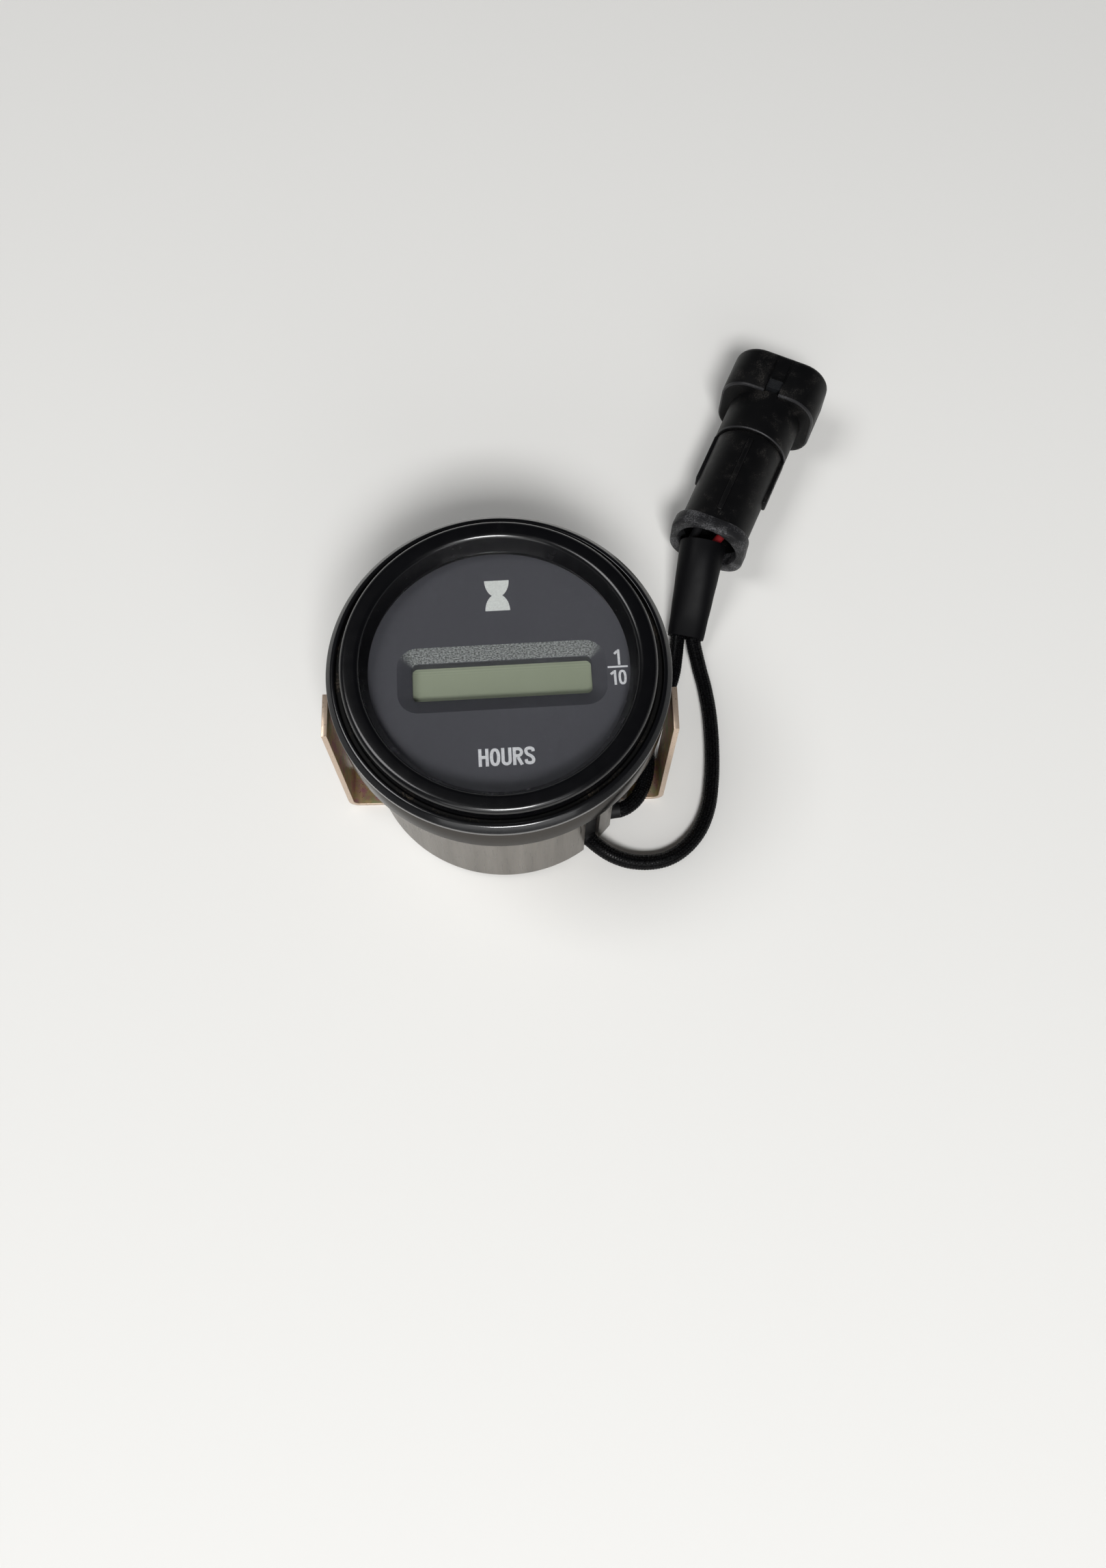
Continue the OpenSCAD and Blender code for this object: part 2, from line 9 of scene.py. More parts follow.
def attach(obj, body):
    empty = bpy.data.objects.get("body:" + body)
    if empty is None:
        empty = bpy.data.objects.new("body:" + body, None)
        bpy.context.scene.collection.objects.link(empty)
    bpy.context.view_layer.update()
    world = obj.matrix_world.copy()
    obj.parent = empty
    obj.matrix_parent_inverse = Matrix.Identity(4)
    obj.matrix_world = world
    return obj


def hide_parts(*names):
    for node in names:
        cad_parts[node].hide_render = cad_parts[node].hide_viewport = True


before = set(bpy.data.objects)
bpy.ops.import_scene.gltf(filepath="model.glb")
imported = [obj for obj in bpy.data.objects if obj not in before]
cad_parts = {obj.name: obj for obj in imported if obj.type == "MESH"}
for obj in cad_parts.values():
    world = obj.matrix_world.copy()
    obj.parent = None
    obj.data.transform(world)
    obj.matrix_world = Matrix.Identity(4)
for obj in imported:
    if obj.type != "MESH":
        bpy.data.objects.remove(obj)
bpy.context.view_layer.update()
mm = 0.001
scene = bpy.context.scene

photoView = dict(  # where the photograph was taken from, in the part's frame
    place=(2.74, -97.5, 257.4),  # mm
    pitch=70.66,  # degrees down from level
    turn=4.0,  # degrees that the dial's text rises by
    roll=0.6,
    focalPx=2000.0,  # focal length in the photograph's own pixels
    longSidePx=2296.0,
    sensor=36.0,  # mm along the long side
)


def addObject(name, data):
    made = bpy.data.objects.new(name, data)
    scene.collection.objects.link(made)
    return made


def addCamera(view):
    pitch, turn, roll = (radians(view[k]) for k in ("pitch", "turn", "roll"))
    ahead = Vector((sin(turn) * cos(pitch), cos(turn) * cos(pitch), -sin(pitch)))
    level = Vector((cos(turn), -sin(turn), 0.0))
    above = level.cross(ahead)
    right = level * cos(roll) + above * sin(roll)
    up = above * cos(roll) - level * sin(roll)
    data = bpy.data.cameras.new("photo_camera")
    data.sensor_fit = "VERTICAL"
    data.sensor_height = view["sensor"]
    data.lens = view["sensor"] * view["focalPx"] / view["longSidePx"]
    data.clip_start = 0.01
    scene.camera = addObject("photo_camera", data)
    turnBy = Matrix((right, up, -ahead)).transposed().to_4x4()
    scene.camera.matrix_world = Matrix.Translation(Vector(view["place"]) * mm) @ turnBy


addCamera(photoView)
scene.view_settings.view_transform = "Standard"


# Small tools: colours, nodes, meshes

def linear(hexColour):
    parts = [int(hexColour[i:i + 2], 16) / 255 for i in (1, 3, 5)]
    return tuple(c / 12.92 if c <= 0.04045 else ((c + 0.055) / 1.055) ** 2.4 for c in parts) + (1.0,)


def setInputs(node, inputs):  # by name or number, or a list in order
    for key, value in enumerate(inputs) if isinstance(inputs, list) else inputs.items():
        if isinstance(value, bpy.types.Node):  # a node stands for its first output in use
            value = next(socket for socket in value.outputs if socket.enabled)
        if isinstance(value, bpy.types.NodeSocket):
            node.id_data.links.new(value, node.inputs[key])
        else:
            node.inputs[key].default_value = linear(value) if isinstance(value, str) else value


def addNode(tree, kind, inputs=(), **settings):  # a short kind is that of a shader node
    made = tree.nodes.new(kind if "Node" in kind else "ShaderNode" + kind)
    for key, value in settings.items():
        setattr(made, key, value)
    setInputs(made, inputs or {})
    return made


def startMaterial(name):
    material = bpy.data.materials.new(name)
    material.use_nodes = True
    add = partial(addNode, material.node_tree)
    return material, add, add("TexCoord").outputs["Object"]


def shaded(material, inputs):
    setInputs(material.node_tree.nodes["Principled BSDF"], inputs)
    return material


def makePiece(name, mesh, material, nodes=()):
    mesh.name = name
    piece = addObject(name, mesh)
    mesh.materials.clear()
    mesh.materials.append(material)
    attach(piece, "root")
    if nodes:
        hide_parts(*nodes)
    return piece


def smoothAt(mesh, sharp):  # smooth faces, sharp edges past an angle in degrees
    for face in mesh.polygons:
        face.use_smooth = True
    mesh.set_sharp_from_angle(angle=radians(sharp))


def meshFrom(bm, name):
    mesh = bpy.data.meshes.new(name)
    bm.to_mesh(mesh)
    bm.free()
    return mesh


def closeMesh(bm, name, sharp=35):
    bmesh.ops.remove_doubles(bm, verts=bm.verts, dist=1e-7)
    bmesh.ops.recalc_face_normals(bm, faces=bm.faces)
    mesh = meshFrom(bm, name)
    smoothAt(mesh, sharp)
    return mesh


def evaluated(piece):  # the piece's mesh with its modifiers applied
    graph = bpy.context.evaluated_depsgraph_get()
    return bpy.data.meshes.new_from_object(piece.evaluated_get(graph))


def cutAway(mesh, cutters):  # the mesh with each cutter taken out of it
    piece = addObject(mesh.name, mesh)
    for cutter in cutters:
        tool = addObject(cutter.name, cutter)
        cut = piece.modifiers.new("cut", "BOOLEAN")
        cut.object = tool
        cut.solver = "EXACT"
        piece.data = evaluated(piece)
        piece.modifiers.clear()
        bpy.data.objects.remove(tool)
    result = piece.data.copy()
    bpy.data.objects.remove(piece)
    return result


def rounded(corners, steps):  # closed outline of (r, z, fillet) corners, in mm
    points = []
    count = len(corners)
    for i, (x, y, fillet) in enumerate(corners):
        here = Vector((x, y))
        if not fillet:
            points.append(here)
            continue
        before = (Vector(corners[i - 1][:2]) - here).normalized()
        after = (Vector(corners[(i + 1) % count][:2]) - here).normalized()
        half = before.angle(after) / 2
        reach = fillet / tan(half)
        middle = here + (before + after).normalized() * (fillet / sin(half))
        start, end = here + before * reach - middle, here + after * reach - middle
        sweep = start.angle_signed(end)
        for k in range(steps + 1):
            points.append(middle + Matrix.Rotation(-sweep * k / steps, 2) @ start)
    return points


def lathe(name, corners, steps, segments=224):  # rounded outline in mm, turned round the z axis
    outline = [(p.x, p.y) for p in rounded(corners, steps)]
    bm = bmesh.new()
    uv = bm.loops.layers.uv.new("UVMap")
    angles = [2 * pi * k / segments for k in range(segments)]
    rings = []
    for r, z in outline:
        if r < 1e-6:
            rings.append([bm.verts.new((0, 0, z * mm))] * segments)
        else:
            rings.append([bm.verts.new((r * mm * cos(a), r * mm * sin(a), z * mm)) for a in angles])
    way = [0.0]
    for a, b in zip(outline, outline[1:] + outline[:1]):
        way.append(way[-1] + dist(a, b))
    girth = 2 * pi * max(p[0] for p in outline)
    for i in range(len(outline)):
        j = (i + 1) % len(outline)
        for k in range(segments):
            n = (k + 1) % segments
            corner = {}  # where two corners meet on the axis, the first is kept
            for vert, u, v in ((rings[i][k], k, i), (rings[i][n], k + 1, i),
                               (rings[j][n], k + 1, i + 1), (rings[j][k], k, i + 1)):
                corner.setdefault(vert, (girth * u / segments, way[v]))  # mm round, mm along the outline
            if len(corner) < 3:
                continue
            face = bm.faces.new(list(corner))
            for loop in face.loops:
                loop[uv].uv = corner[loop.vert]
    return closeMesh(bm, name)


def softLoop(width, height, radius, grow, z, at=(0, 0), perCorner=10, perSide=12):
    width, height, radius = width + 2 * grow, height + 2 * grow, radius + grow
    points = []  # rounded rectangle, grown on all sides, counter-clockwise, in mm
    for cx, cy, start, ahead, side in ((1, 1, 0, (-1, 0), width), (-1, 1, 90, (0, -1), height),
                                       (-1, -1, 180, (1, 0), width), (1, -1, 270, (0, 1), height)):
        middle = Vector((cx * (width / 2 - radius), cy * (height / 2 - radius)))
        for k in range(perCorner + 1):
            a = radians(start + 90 * k / perCorner)
            points.append(middle + Vector((cos(a), sin(a))) * radius)
        last = points[-1]
        for k in range(1, perSide):
            points.append(last + Vector(ahead) * (side - 2 * radius) * k / perSide)
    return [(p.x + at[0], p.y + at[1], z) for p in points]


def loft(name, loops, closed=False, sharp=35, girth=0.0, way=()):  # skin over loops in mm
    bm = bmesh.new()
    uv = bm.loops.layers.uv.new("UVMap") if girth else None  # mm round and along
    rings = [[bm.verts.new(Vector(p) * mm) for p in loop] for loop in loops]
    for i in range(len(rings) if closed else len(rings) - 1):
        a, b = rings[i], rings[(i + 1) % len(rings)]
        for k in range(len(a)):
            n = (k + 1) % len(a)
            face = bm.faces.new((a[k], a[n], b[n], b[k]))
            if girth:
                for loop, (u, v) in zip(face.loops, ((k, i), (k + 1, i), (k + 1, i + 1), (k, i + 1))):
                    loop[uv].uv = (girth * u / len(a), way[v])
    if not closed:
        bm.faces.new(list(reversed(rings[0])))
        bm.faces.new(rings[-1])
    return closeMesh(bm, name, sharp)


def softBox(name, low, high, bevel):  # bevelled block, in mm
    bm = bmesh.new()
    bmesh.ops.create_cube(bm, size=1.0)
    for v in bm.verts:
        v.co = Vector([(low[i] + (v.co[i] + 0.5) * (high[i] - low[i])) * mm for i in range(3)])
    bmesh.ops.bevel(bm, geom=bm.edges[:], offset=bevel * mm, segments=3, profile=0.5, affect="EDGES")
    return closeMesh(bm, name, 40)


def smoothRoute(points, step, fineSteps=24):  # curve through the points, resampled evenly
    knots = [points[0] * 2 - points[1]] + list(points) + [points[-1] * 2 - points[-2]]
    fine = []
    for i in range(1, len(knots) - 2):
        a, b, c, d = knots[i - 1:i + 3]
        for k in range(fineSteps):
            t = k / fineSteps
            fine.append(0.5 * (2 * b + (c - a) * t + (2 * a - 5 * b + 4 * c - d) * t * t
                               + (3 * b - a - 3 * c + d) * t ** 3))
    fine.append(knots[-2])
    spans = [(q - p).length for p, q in zip(fine, fine[1:])]
    count = max(2, round(sum(spans) / step))
    route, walked, i = [], 0.0, 0
    for k in range(count + 1):
        target = sum(spans) * k / count
        while i < len(spans) - 1 and walked + spans[i] < target:
            walked += spans[i]
            i += 1
        route.append(fine[i].lerp(fine[i + 1], min(1.0, (target - walked) / spans[i])))
    return route


def routeLength(route):
    return sum((q - p).length for p, q in zip(route, route[1:]))


def tube(name, route, radius, sides=20):  # round tube, in mm
    loops = []
    for i, p in enumerate(route):
        ahead = (route[min(i + 1, len(route) - 1)] - route[max(i - 1, 0)]).normalized()
        side = ahead.cross(Vector((0, 0, 1))).normalized()
        up = side.cross(ahead)
        around = [2 * pi * k / sides for k in range(sides)]
        loops.append([p + (side * cos(a) + up * sin(a)) * radius for a in around])
    way = [routeLength(route[:i + 1]) for i in range(len(route))]
    return loft(name, loops, sharp=50, girth=2 * pi * radius, way=way)


# Finishes; a Map Range list holds value, from, from, to, to

span = (0.3, 0.7)  # where most of a noise's values lie


def drawnStainless():  # drawn sheet: fine upright brush lines on the body, a polished flange whose darker colour is a painted dark reflection
    look = dict(colour="#A19C96", streak="#847F79", polished="#625F5C", bodyEdge="#DADADA",
                flangeEdge="#B4B4B4", lineMm=0.3, lineLongMm=9.0, bandMm=3.0, bandLongMm=40.0, smearMm=6.0,
                stepMm=32.8, blurMm=0.3, bodyRough=(0.24, 0.4), flangeRough=(0.12, 0.2), reliefMm=0.03)
    material, add, place = startMaterial("stainless_sheet_brushed")
    unrolled = place.node.outputs["UV"]
    lines = add("Mapping", {"Vector": unrolled, "Scale": (1 / look["lineMm"], 1 / look["lineLongMm"], 1)})
    grain = add("TexNoise", {"Vector": lines, "Scale": 1.0, "Detail": 3.0, "Roughness": 0.6})
    wide = add("Mapping", {"Vector": unrolled, "Scale": (1 / look["bandMm"], 1 / look["bandLongMm"], 1)})
    bands = add("TexNoise", {"Vector": wide, "Scale": 1.0, "Detail": 2.0})
    smear = add("TexNoise", {"Vector": place, "Scale": 1 / (look["smearMm"] * mm), "Detail": 4.0})
    height = add("SeparateXYZ", [place]).outputs["Z"]
    low, high = (look["stepMm"] - look["blurMm"]) * mm, (look["stepMm"] + look["blurMm"]) * mm
    onBody = add("MapRange", [height, low, high, 1.0, 0.0])
    shade = add("MapRange", [add("Math", [grain, bands], operation="ADD"), 0.75, 1.25])
    brushed = add("Mix", {0: shade, 6: look["streak"], 7: look["colour"]}, data_type="RGBA")
    # painted reflection: the flange takes a darker copy of the steel's colour, standing for the dark
    # surroundings it mirrors
    tone = add("Mix", {0: onBody, 6: look["polished"], 7: brushed}, data_type="RGBA")
    edge = add("Mix", {0: onBody, 6: look["flangeEdge"], 7: look["bodyEdge"]}, data_type="RGBA")
    bodyRough = add("MapRange", [grain, *span, *look["bodyRough"]])
    flangeRough = add("MapRange", [smear, *span, *look["flangeRough"]])
    rough = add("Mix", {0: onBody, 2: flangeRough, 3: bodyRough})
    relief = add("Math", [grain, onBody], operation="MULTIPLY")
    bump = add("Bump", {"Height": relief, "Strength": 0.12, "Distance": look["reliefMm"] * mm})
    return shaded(material, {"Base Color": tone, "Roughness": rough, "Normal": bump, "Metallic": 1.0,
        "Specular Tint": edge})  # dulled, so the walls don't flare at a low angle


def speckledBlack(name, colour, dust, grainMm, rough, dustFrom, bumpMm, gloss, coat=0.0):
    # Black mouldings, paint and rubber: dust sits in their grain, and a coat gives a sharper skin
    look = dict(cloudTimes=14, dustSpan=0.16, uneven=(0.92, 1.12), coatRough=0.1)
    material, add, place = startMaterial(name)
    grain = add("TexNoise", {"Vector": place, "Scale": 1 / (grainMm * mm), "Detail": 3.0, "Roughness": 0.65})
    cloudMm = grainMm * look["cloudTimes"]
    cloud = add("TexNoise", {"Vector": place, "Scale": 1 / (cloudMm * mm), "Detail": 3.0})
    both = add("Math", [grain, cloud], operation="MULTIPLY")
    dusty = add("MapRange", [both, dustFrom, dustFrom + look["dustSpan"]])
    tone = add("Mix", {0: dusty, 6: colour, 7: dust}, data_type="RGBA")
    uneven = add("MapRange", [cloud, *span, *(rough * k for k in look["uneven"])])
    bump = add("Bump", {"Height": grain, "Strength": 0.35, "Distance": bumpMm * mm})
    return shaded(material, {
        "Base Color": tone, "Roughness": uneven, "Normal": bump, "Specular IOR Level": gloss,
        "Coat Weight": coat, "Coat Roughness": look["coatRough"]})


def mottled(name, colour, other, spotMm, rough, spread=0.05, metal=0.0, gloss=0.5, cover=None, detail=3.0):
    # Even finishes: the other colour comes in faintly with the spots, or over the cover's range of them
    material, add, place = startMaterial(name)
    spots = add("TexNoise", {"Vector": place, "Scale": 1 / (spotMm * mm), "Detail": detail})
    weight = add("MapRange", [spots, *cover]) if cover else spots
    tone = add("Mix", {0: weight, 6: colour, 7: other}, data_type="RGBA")
    uneven = add("MapRange", [spots, *span, rough - spread, rough + spread]) if spread else rough
    return shaded(material, {"Base Color": tone, "Roughness": uneven, "Metallic": metal,
        "Specular IOR Level": gloss})


def mouldedDial():  # grey moulding, very fine grain; the window's slopes painted darker as shade, and the slope that faces the front given a rough-grained relief and painted lighter, with painted glints
    look = dict(colour="#3F3F44", slope="#343439", litSlopeDark="#303231", litSlopeLight="#848786", grainMm=0.12,
                sparkMm=(0.36, 0.2), reliefMm=0.05, rough=0.62, gloss=0.3)
    material, add, place = startMaterial("abs_moulded_grey")
    grain = add("TexNoise", {"Vector": place, "Scale": 1 / (look["grainMm"] * mm), "Detail": 2.0})
    sparks = add("Mapping", {"Vector": place,
                 "Scale": (*(1 / (s * mm) for s in look["sparkMm"]), 0.0)})
    cells = add("TexNoise", {"Vector": sparks, "Scale": 1.0, "Detail": 2.0, "Roughness": 0.6})
    facing = add("SeparateXYZ", [place.node.outputs["Normal"]]).outputs
    # painted shade: the window's tilted slopes and walls take the darker slope colour
    tilted = add("MapRange", [facing["Z"], 0.95, 0.985, 1.0, 0.0])
    ahead = add("MapRange", [facing["Y"], -0.325, -0.17, 1.0, 0.0])
    flat = add("MapRange", [facing["Z"], 0.6, 0.8])
    coarseAndLit = add("Math", [ahead, flat], operation="MULTIPLY")
    base = add("Mix", {0: tilted, 6: look["colour"], 7: look["slope"]}, data_type="RGBA")
    speck = add("MapRange", [grain, *span, 0.9, 1.08])
    shade = add("Mix", {0: 1.0, 6: base, 7: speck}, data_type="RGBA", blend_type="MULTIPLY")
    # painted light: the slope turned to the front is painted lighter, with painted glints, wherever its
    # relief is
    paintedGlints = add("MapRange", [cells, 0.38, 0.64])
    bright = add("Mix", {0: paintedGlints, 6: look["litSlopeDark"], 7: look["litSlopeLight"]}, data_type="RGBA")
    tone = add("Mix", {0: coarseAndLit, 6: shade, 7: bright}, data_type="RGBA")
    height = add("Math", [cells, coarseAndLit, grain], operation="MULTIPLY_ADD")
    bump = add("Bump", {"Height": height, "Strength": 0.3, "Distance": look["reliefMm"] * mm})
    return shaded(material, {"Base Color": tone, "Normal": bump, "Roughness": look["rough"],
        "Specular IOR Level": look["gloss"]})


def clearLens():  # polished acrylic: clear, faint gloss; lamps pass, so that the dial is lit
    look = dict(colour="#FBFCFC", passed="#FAFAFA", hazeMm=7.0, rough=(0.0, 0.03), ior=1.49)
    material, add, place = startMaterial("acrylic_polished_clear")
    nodes = material.node_tree.nodes
    haze = add("TexNoise", {"Vector": place, "Scale": 1 / (look["hazeMm"] * mm), "Detail": 3.0})
    rough = add("MapRange", [haze, *span, *look["rough"]])
    clear = add("BsdfTransparent", {"Color": look["passed"]})
    rays = add("LightPath").outputs
    bounced = add("MixShader", [rays["Is Diffuse Ray"], nodes["Principled BSDF"], clear])
    lit = add("MixShader", [rays["Is Shadow Ray"], bounced, clear])
    setInputs(nodes["Material Output"], {"Surface": lit})
    return shaded(material, {"Base Color": look["colour"], "Roughness": rough, "Transmission Weight": 1.0,
        "IOR": look["ior"]})


def displayGlass():  # liquid crystal cell behind a polariser: olive grey, a little lighter to one end
    look = dict(light="#8F9682", dark="#858C78", halfMm=15.3, cloudMm=9.0, lineMm=0.5, linesFrom=0.9,
                linesTo=2.5, lineDepth=0.1, rough=0.3)
    material, add, place = startMaterial("display_glass_olive")
    at = add("SeparateXYZ", [place]).outputs
    slide = add("MapRange", [at["X"], -look["halfMm"] * mm, look["halfMm"] * mm])
    cloud = add("TexNoise", {"Vector": place, "Scale": 1 / (look["cloudMm"] * mm), "Detail": 2.0})
    blend = add("Math", [slide, cloud], operation="MULTIPLY")
    tone = add("Mix", {0: blend, 6: look["light"], 7: look["dark"]}, data_type="RGBA")
    rows = add("Math", [at["Y"], 2 * pi / (look["lineMm"] * mm)], operation="MULTIPLY")
    wave = add("Math", [rows], operation="SINE")
    near = add("MapRange", [at["Y"], look["linesFrom"] * mm, look["linesTo"] * mm, 0.0, look["lineDepth"]])
    faint = add("Math", [wave, near, 1.0], operation="MULTIPLY_ADD")
    lined = add("Mix", {0: 1.0, 6: tone, 7: faint}, data_type="RGBA", blend_type="MULTIPLY")
    return shaded(material, {"Base Color": lined, "Roughness": look["rough"]})


def passivatedZinc():  # yellow passivated zinc: gold with mauve and green clouds, bare beige where it was cut
    look = dict(gold="#A08B60", mauve="#96686C", green="#84865F", cut="#C4B09D", cloudMm=1.8, patchTimes=2.2,
                grainMm=0.3, rough=(0.26, 0.42), reliefMm=0.02, metal=0.6)
    material, add, place = startMaterial("steel_zinc_yellow")
    cloud = add("TexNoise", {"Vector": place, "Scale": 1 / (look["cloudMm"] * mm), "Detail": 3.0})
    patch = add("TexNoise", {"Vector": place, "Detail": 2.0, "Distortion": 0.8,
                "Scale": 1 / (look["cloudMm"] * look["patchTimes"] * mm)})
    grain = add("TexNoise", {"Vector": place, "Scale": 1 / (look["grainMm"] * mm), "Detail": 2.0})
    first = add("MapRange", [cloud, 0.4, 0.62])
    second = add("MapRange", [patch, 0.5, 0.64])
    two = add("Mix", {0: first, 6: look["gold"], 7: look["mauve"]}, data_type="RGBA")
    three = add("Mix", {0: second, 6: two, 7: look["green"]}, data_type="RGBA")
    edge = add("Attribute", attribute_name="cutEdge").outputs["Fac"]
    tone = add("Mix", {0: edge, 6: three, 7: look["cut"]}, data_type="RGBA")
    rough = add("MapRange", [grain, *span, *look["rough"]])
    bump = add("Bump", {"Height": grain, "Strength": 0.2, "Distance": look["reliefMm"] * mm})
    return shaded(material, {"Base Color": tone, "Roughness": rough, "Normal": bump,
        "Metallic": look["metal"]})


def contactRubber():  # silicone strips with conducting layers: fine dark and pale stripes across
    look = dict(dark="#3B3F45", pale="#9AA0A6", bandMm=4.0, rough=0.7)
    material, add, place = startMaterial("silicone_striped_grey")
    bands = add("TexWave", {"Vector": place, "Scale": 1 / (look["bandMm"] * mm), "Distortion": 0.0},
                bands_direction="X")
    tone = add("Mix", {0: bands.outputs["Fac"], 6: look["dark"], 7: look["pale"]}, data_type="RGBA")
    return shaded(material, {"Base Color": tone, "Roughness": look["rough"]})


steel = drawnStainless()
rimPaint = speckledBlack("steel_painted_black", "#060608", "#242426", grainMm=0.25, rough=0.23, dustFrom=0.4,
    bumpMm=0.006, gloss=0.5, coat=0.5)
bezelPlastic = speckledBlack("nylon_moulded_satin", "#060608", "#1C1C1F", grainMm=0.2, rough=0.25,
    dustFrom=0.4, bumpMm=0.006, gloss=0.4, coat=0.4)
sealRubber = speckledBlack("rubber_moulded_dusty", "#050505", "#4A4238", grainMm=0.3, rough=0.7,
    dustFrom=0.31, bumpMm=0.06, gloss=0.2)
plainRubber = speckledBlack("rubber_moulded_black", "#060607", "#1A1A1A", grainMm=0.4, rough=0.6,
    dustFrom=0.36, bumpMm=0.03, gloss=0.3)
plugPlastic = speckledBlack("nylon_moulded_black", "#09090A", "#343230", grainMm=0.22, rough=0.45,
    dustFrom=0.3, bumpMm=0.03, gloss=0.14)
plugGrain = speckledBlack("nylon_eroded_grey", "#18181A", "#5C5C5E", grainMm=0.3, rough=0.5, dustFrom=0.22,
    bumpMm=0.06, gloss=0.3)
# paler black for the plug's rear edges: a painted highlight
plugEdgeHighlight = speckledBlack("nylon_painted_edge_highlight", "#202022", "#3C3C3E", grainMm=0.3, rough=0.4, dustFrom=0.28,
    bumpMm=0.03, gloss=0.4)
shrinkPlastic = speckledBlack("polyolefin_shrunk_black", "#060608", "#131316", grainMm=0.5, rough=0.5,
    dustFrom=0.37, bumpMm=0.02, gloss=0.1)
dialPlastic = mouldedDial()
lensAcrylic = clearLens()
displayOlive = displayGlass()
printed = dict(spotMm=0.35, rough=0.55, spread=0.0, cover=span)  # printed ink: grey white, uneven
ink = mottled("ink_printed_grey", "#C4C5C8", "#D8D9DB", **printed)
inkHeavy = mottled("ink_printed_white", "#C6C9C6", "#D6D9D5", **printed)
zinc = passivatedZinc()
braid = mottled("polyester_braid_black", "#060607", "#0F1011", spotMm=0.5, rough=0.29, spread=0.07, gloss=0.1,
                cover=(0.5, 0.75), detail=2.0)  # shiny black yarn, each float catching its own glint
redInsulation = mottled("pvc_extruded_red", "#8E2226", "#761A1E", 1.2, 0.4)
blackInsulation = mottled("pvc_extruded_black", "#141415", "#1E1E20", 1.2, 0.4)
print("finishes ready")


# Leads first: the routes are those of the part's own solids, in mm

sleeveTaper = dict(start=(37.95, 21.6, 3.8), end=(42.4, 38.6, 8.4), startR=3.7, endR=4.65, low=1.1,
                   spread=1.6)
leads = dict(
    diameter=3.0, coreTrim=0.07, step=0.8,
    first=[(15.4, -20.4, 3.6), (17.2, -22.1, 3.4), (19.6, -23.7, 2.9), (22.6, -24.8, 2.2), (26, -25.2, 1.7),
           (29.4, -24.9, 1.6), (32.4, -23.7, 1.6), (35.2, -21.5, 1.6), (37.6, -18.4, 1.6), (39.4, -14.2, 1.6),
           (40.5, -9, 1.6), (41.1, -4, 1.6), (41.4, 1, 1.6), (41.4, 6, 1.6), (41, 11, 1.6),
           (40.3, 15.5, 1.8)],
    second=[(21.6, -14.8, 3.6), (22.6, -14.5, 3.6), (23.6, -13.9, 3.5), (24.7, -13, 3.4), (25.8, -11.6, 3.3),
            (26.9, -9.4, 3.3), (27.7, -6.6, 3.3), (28.1, -3, 3.2), (28.7, 0.6, 2.8), (30, 4, 2.2),
            (31.8, 7.4, 1.7), (33.5, 10.8, 1.6), (34.9, 14.4, 1.6), (35.7, 18, 1.8)],
    underSleeve=(0.0, 4.0, 8.0),  # points along the heat shrink, which hides the last 8 mm
)
weave = dict(pitch=0.52, around=16, floatLong=0.62, floatWide=0.34, floatThick=0.16, slant=38)  # mm, degrees

taperStart, taperEnd = Vector(sleeveTaper["start"]), Vector(sleeveTaper["end"])
taperLong = (taperEnd - taperStart).length
taperAxis = (taperEnd - taperStart).normalized()
taperSide = taperAxis.cross(Vector((0, 0, 1))).normalized()
taperUp = taperSide.cross(taperAxis)


def leadRoute(points, side):
    hidden = []
    for s in leads["underSleeve"]:
        t = s / taperLong
        drop = sleeveTaper["low"] * (1 - t * t * (3 - 2 * t))
        hidden.append(taperStart + taperAxis * s + taperSide * sleeveTaper["spread"] * side - taperUp * drop)
    return smoothRoute([Vector(p) for p in points] + hidden, leads["step"])


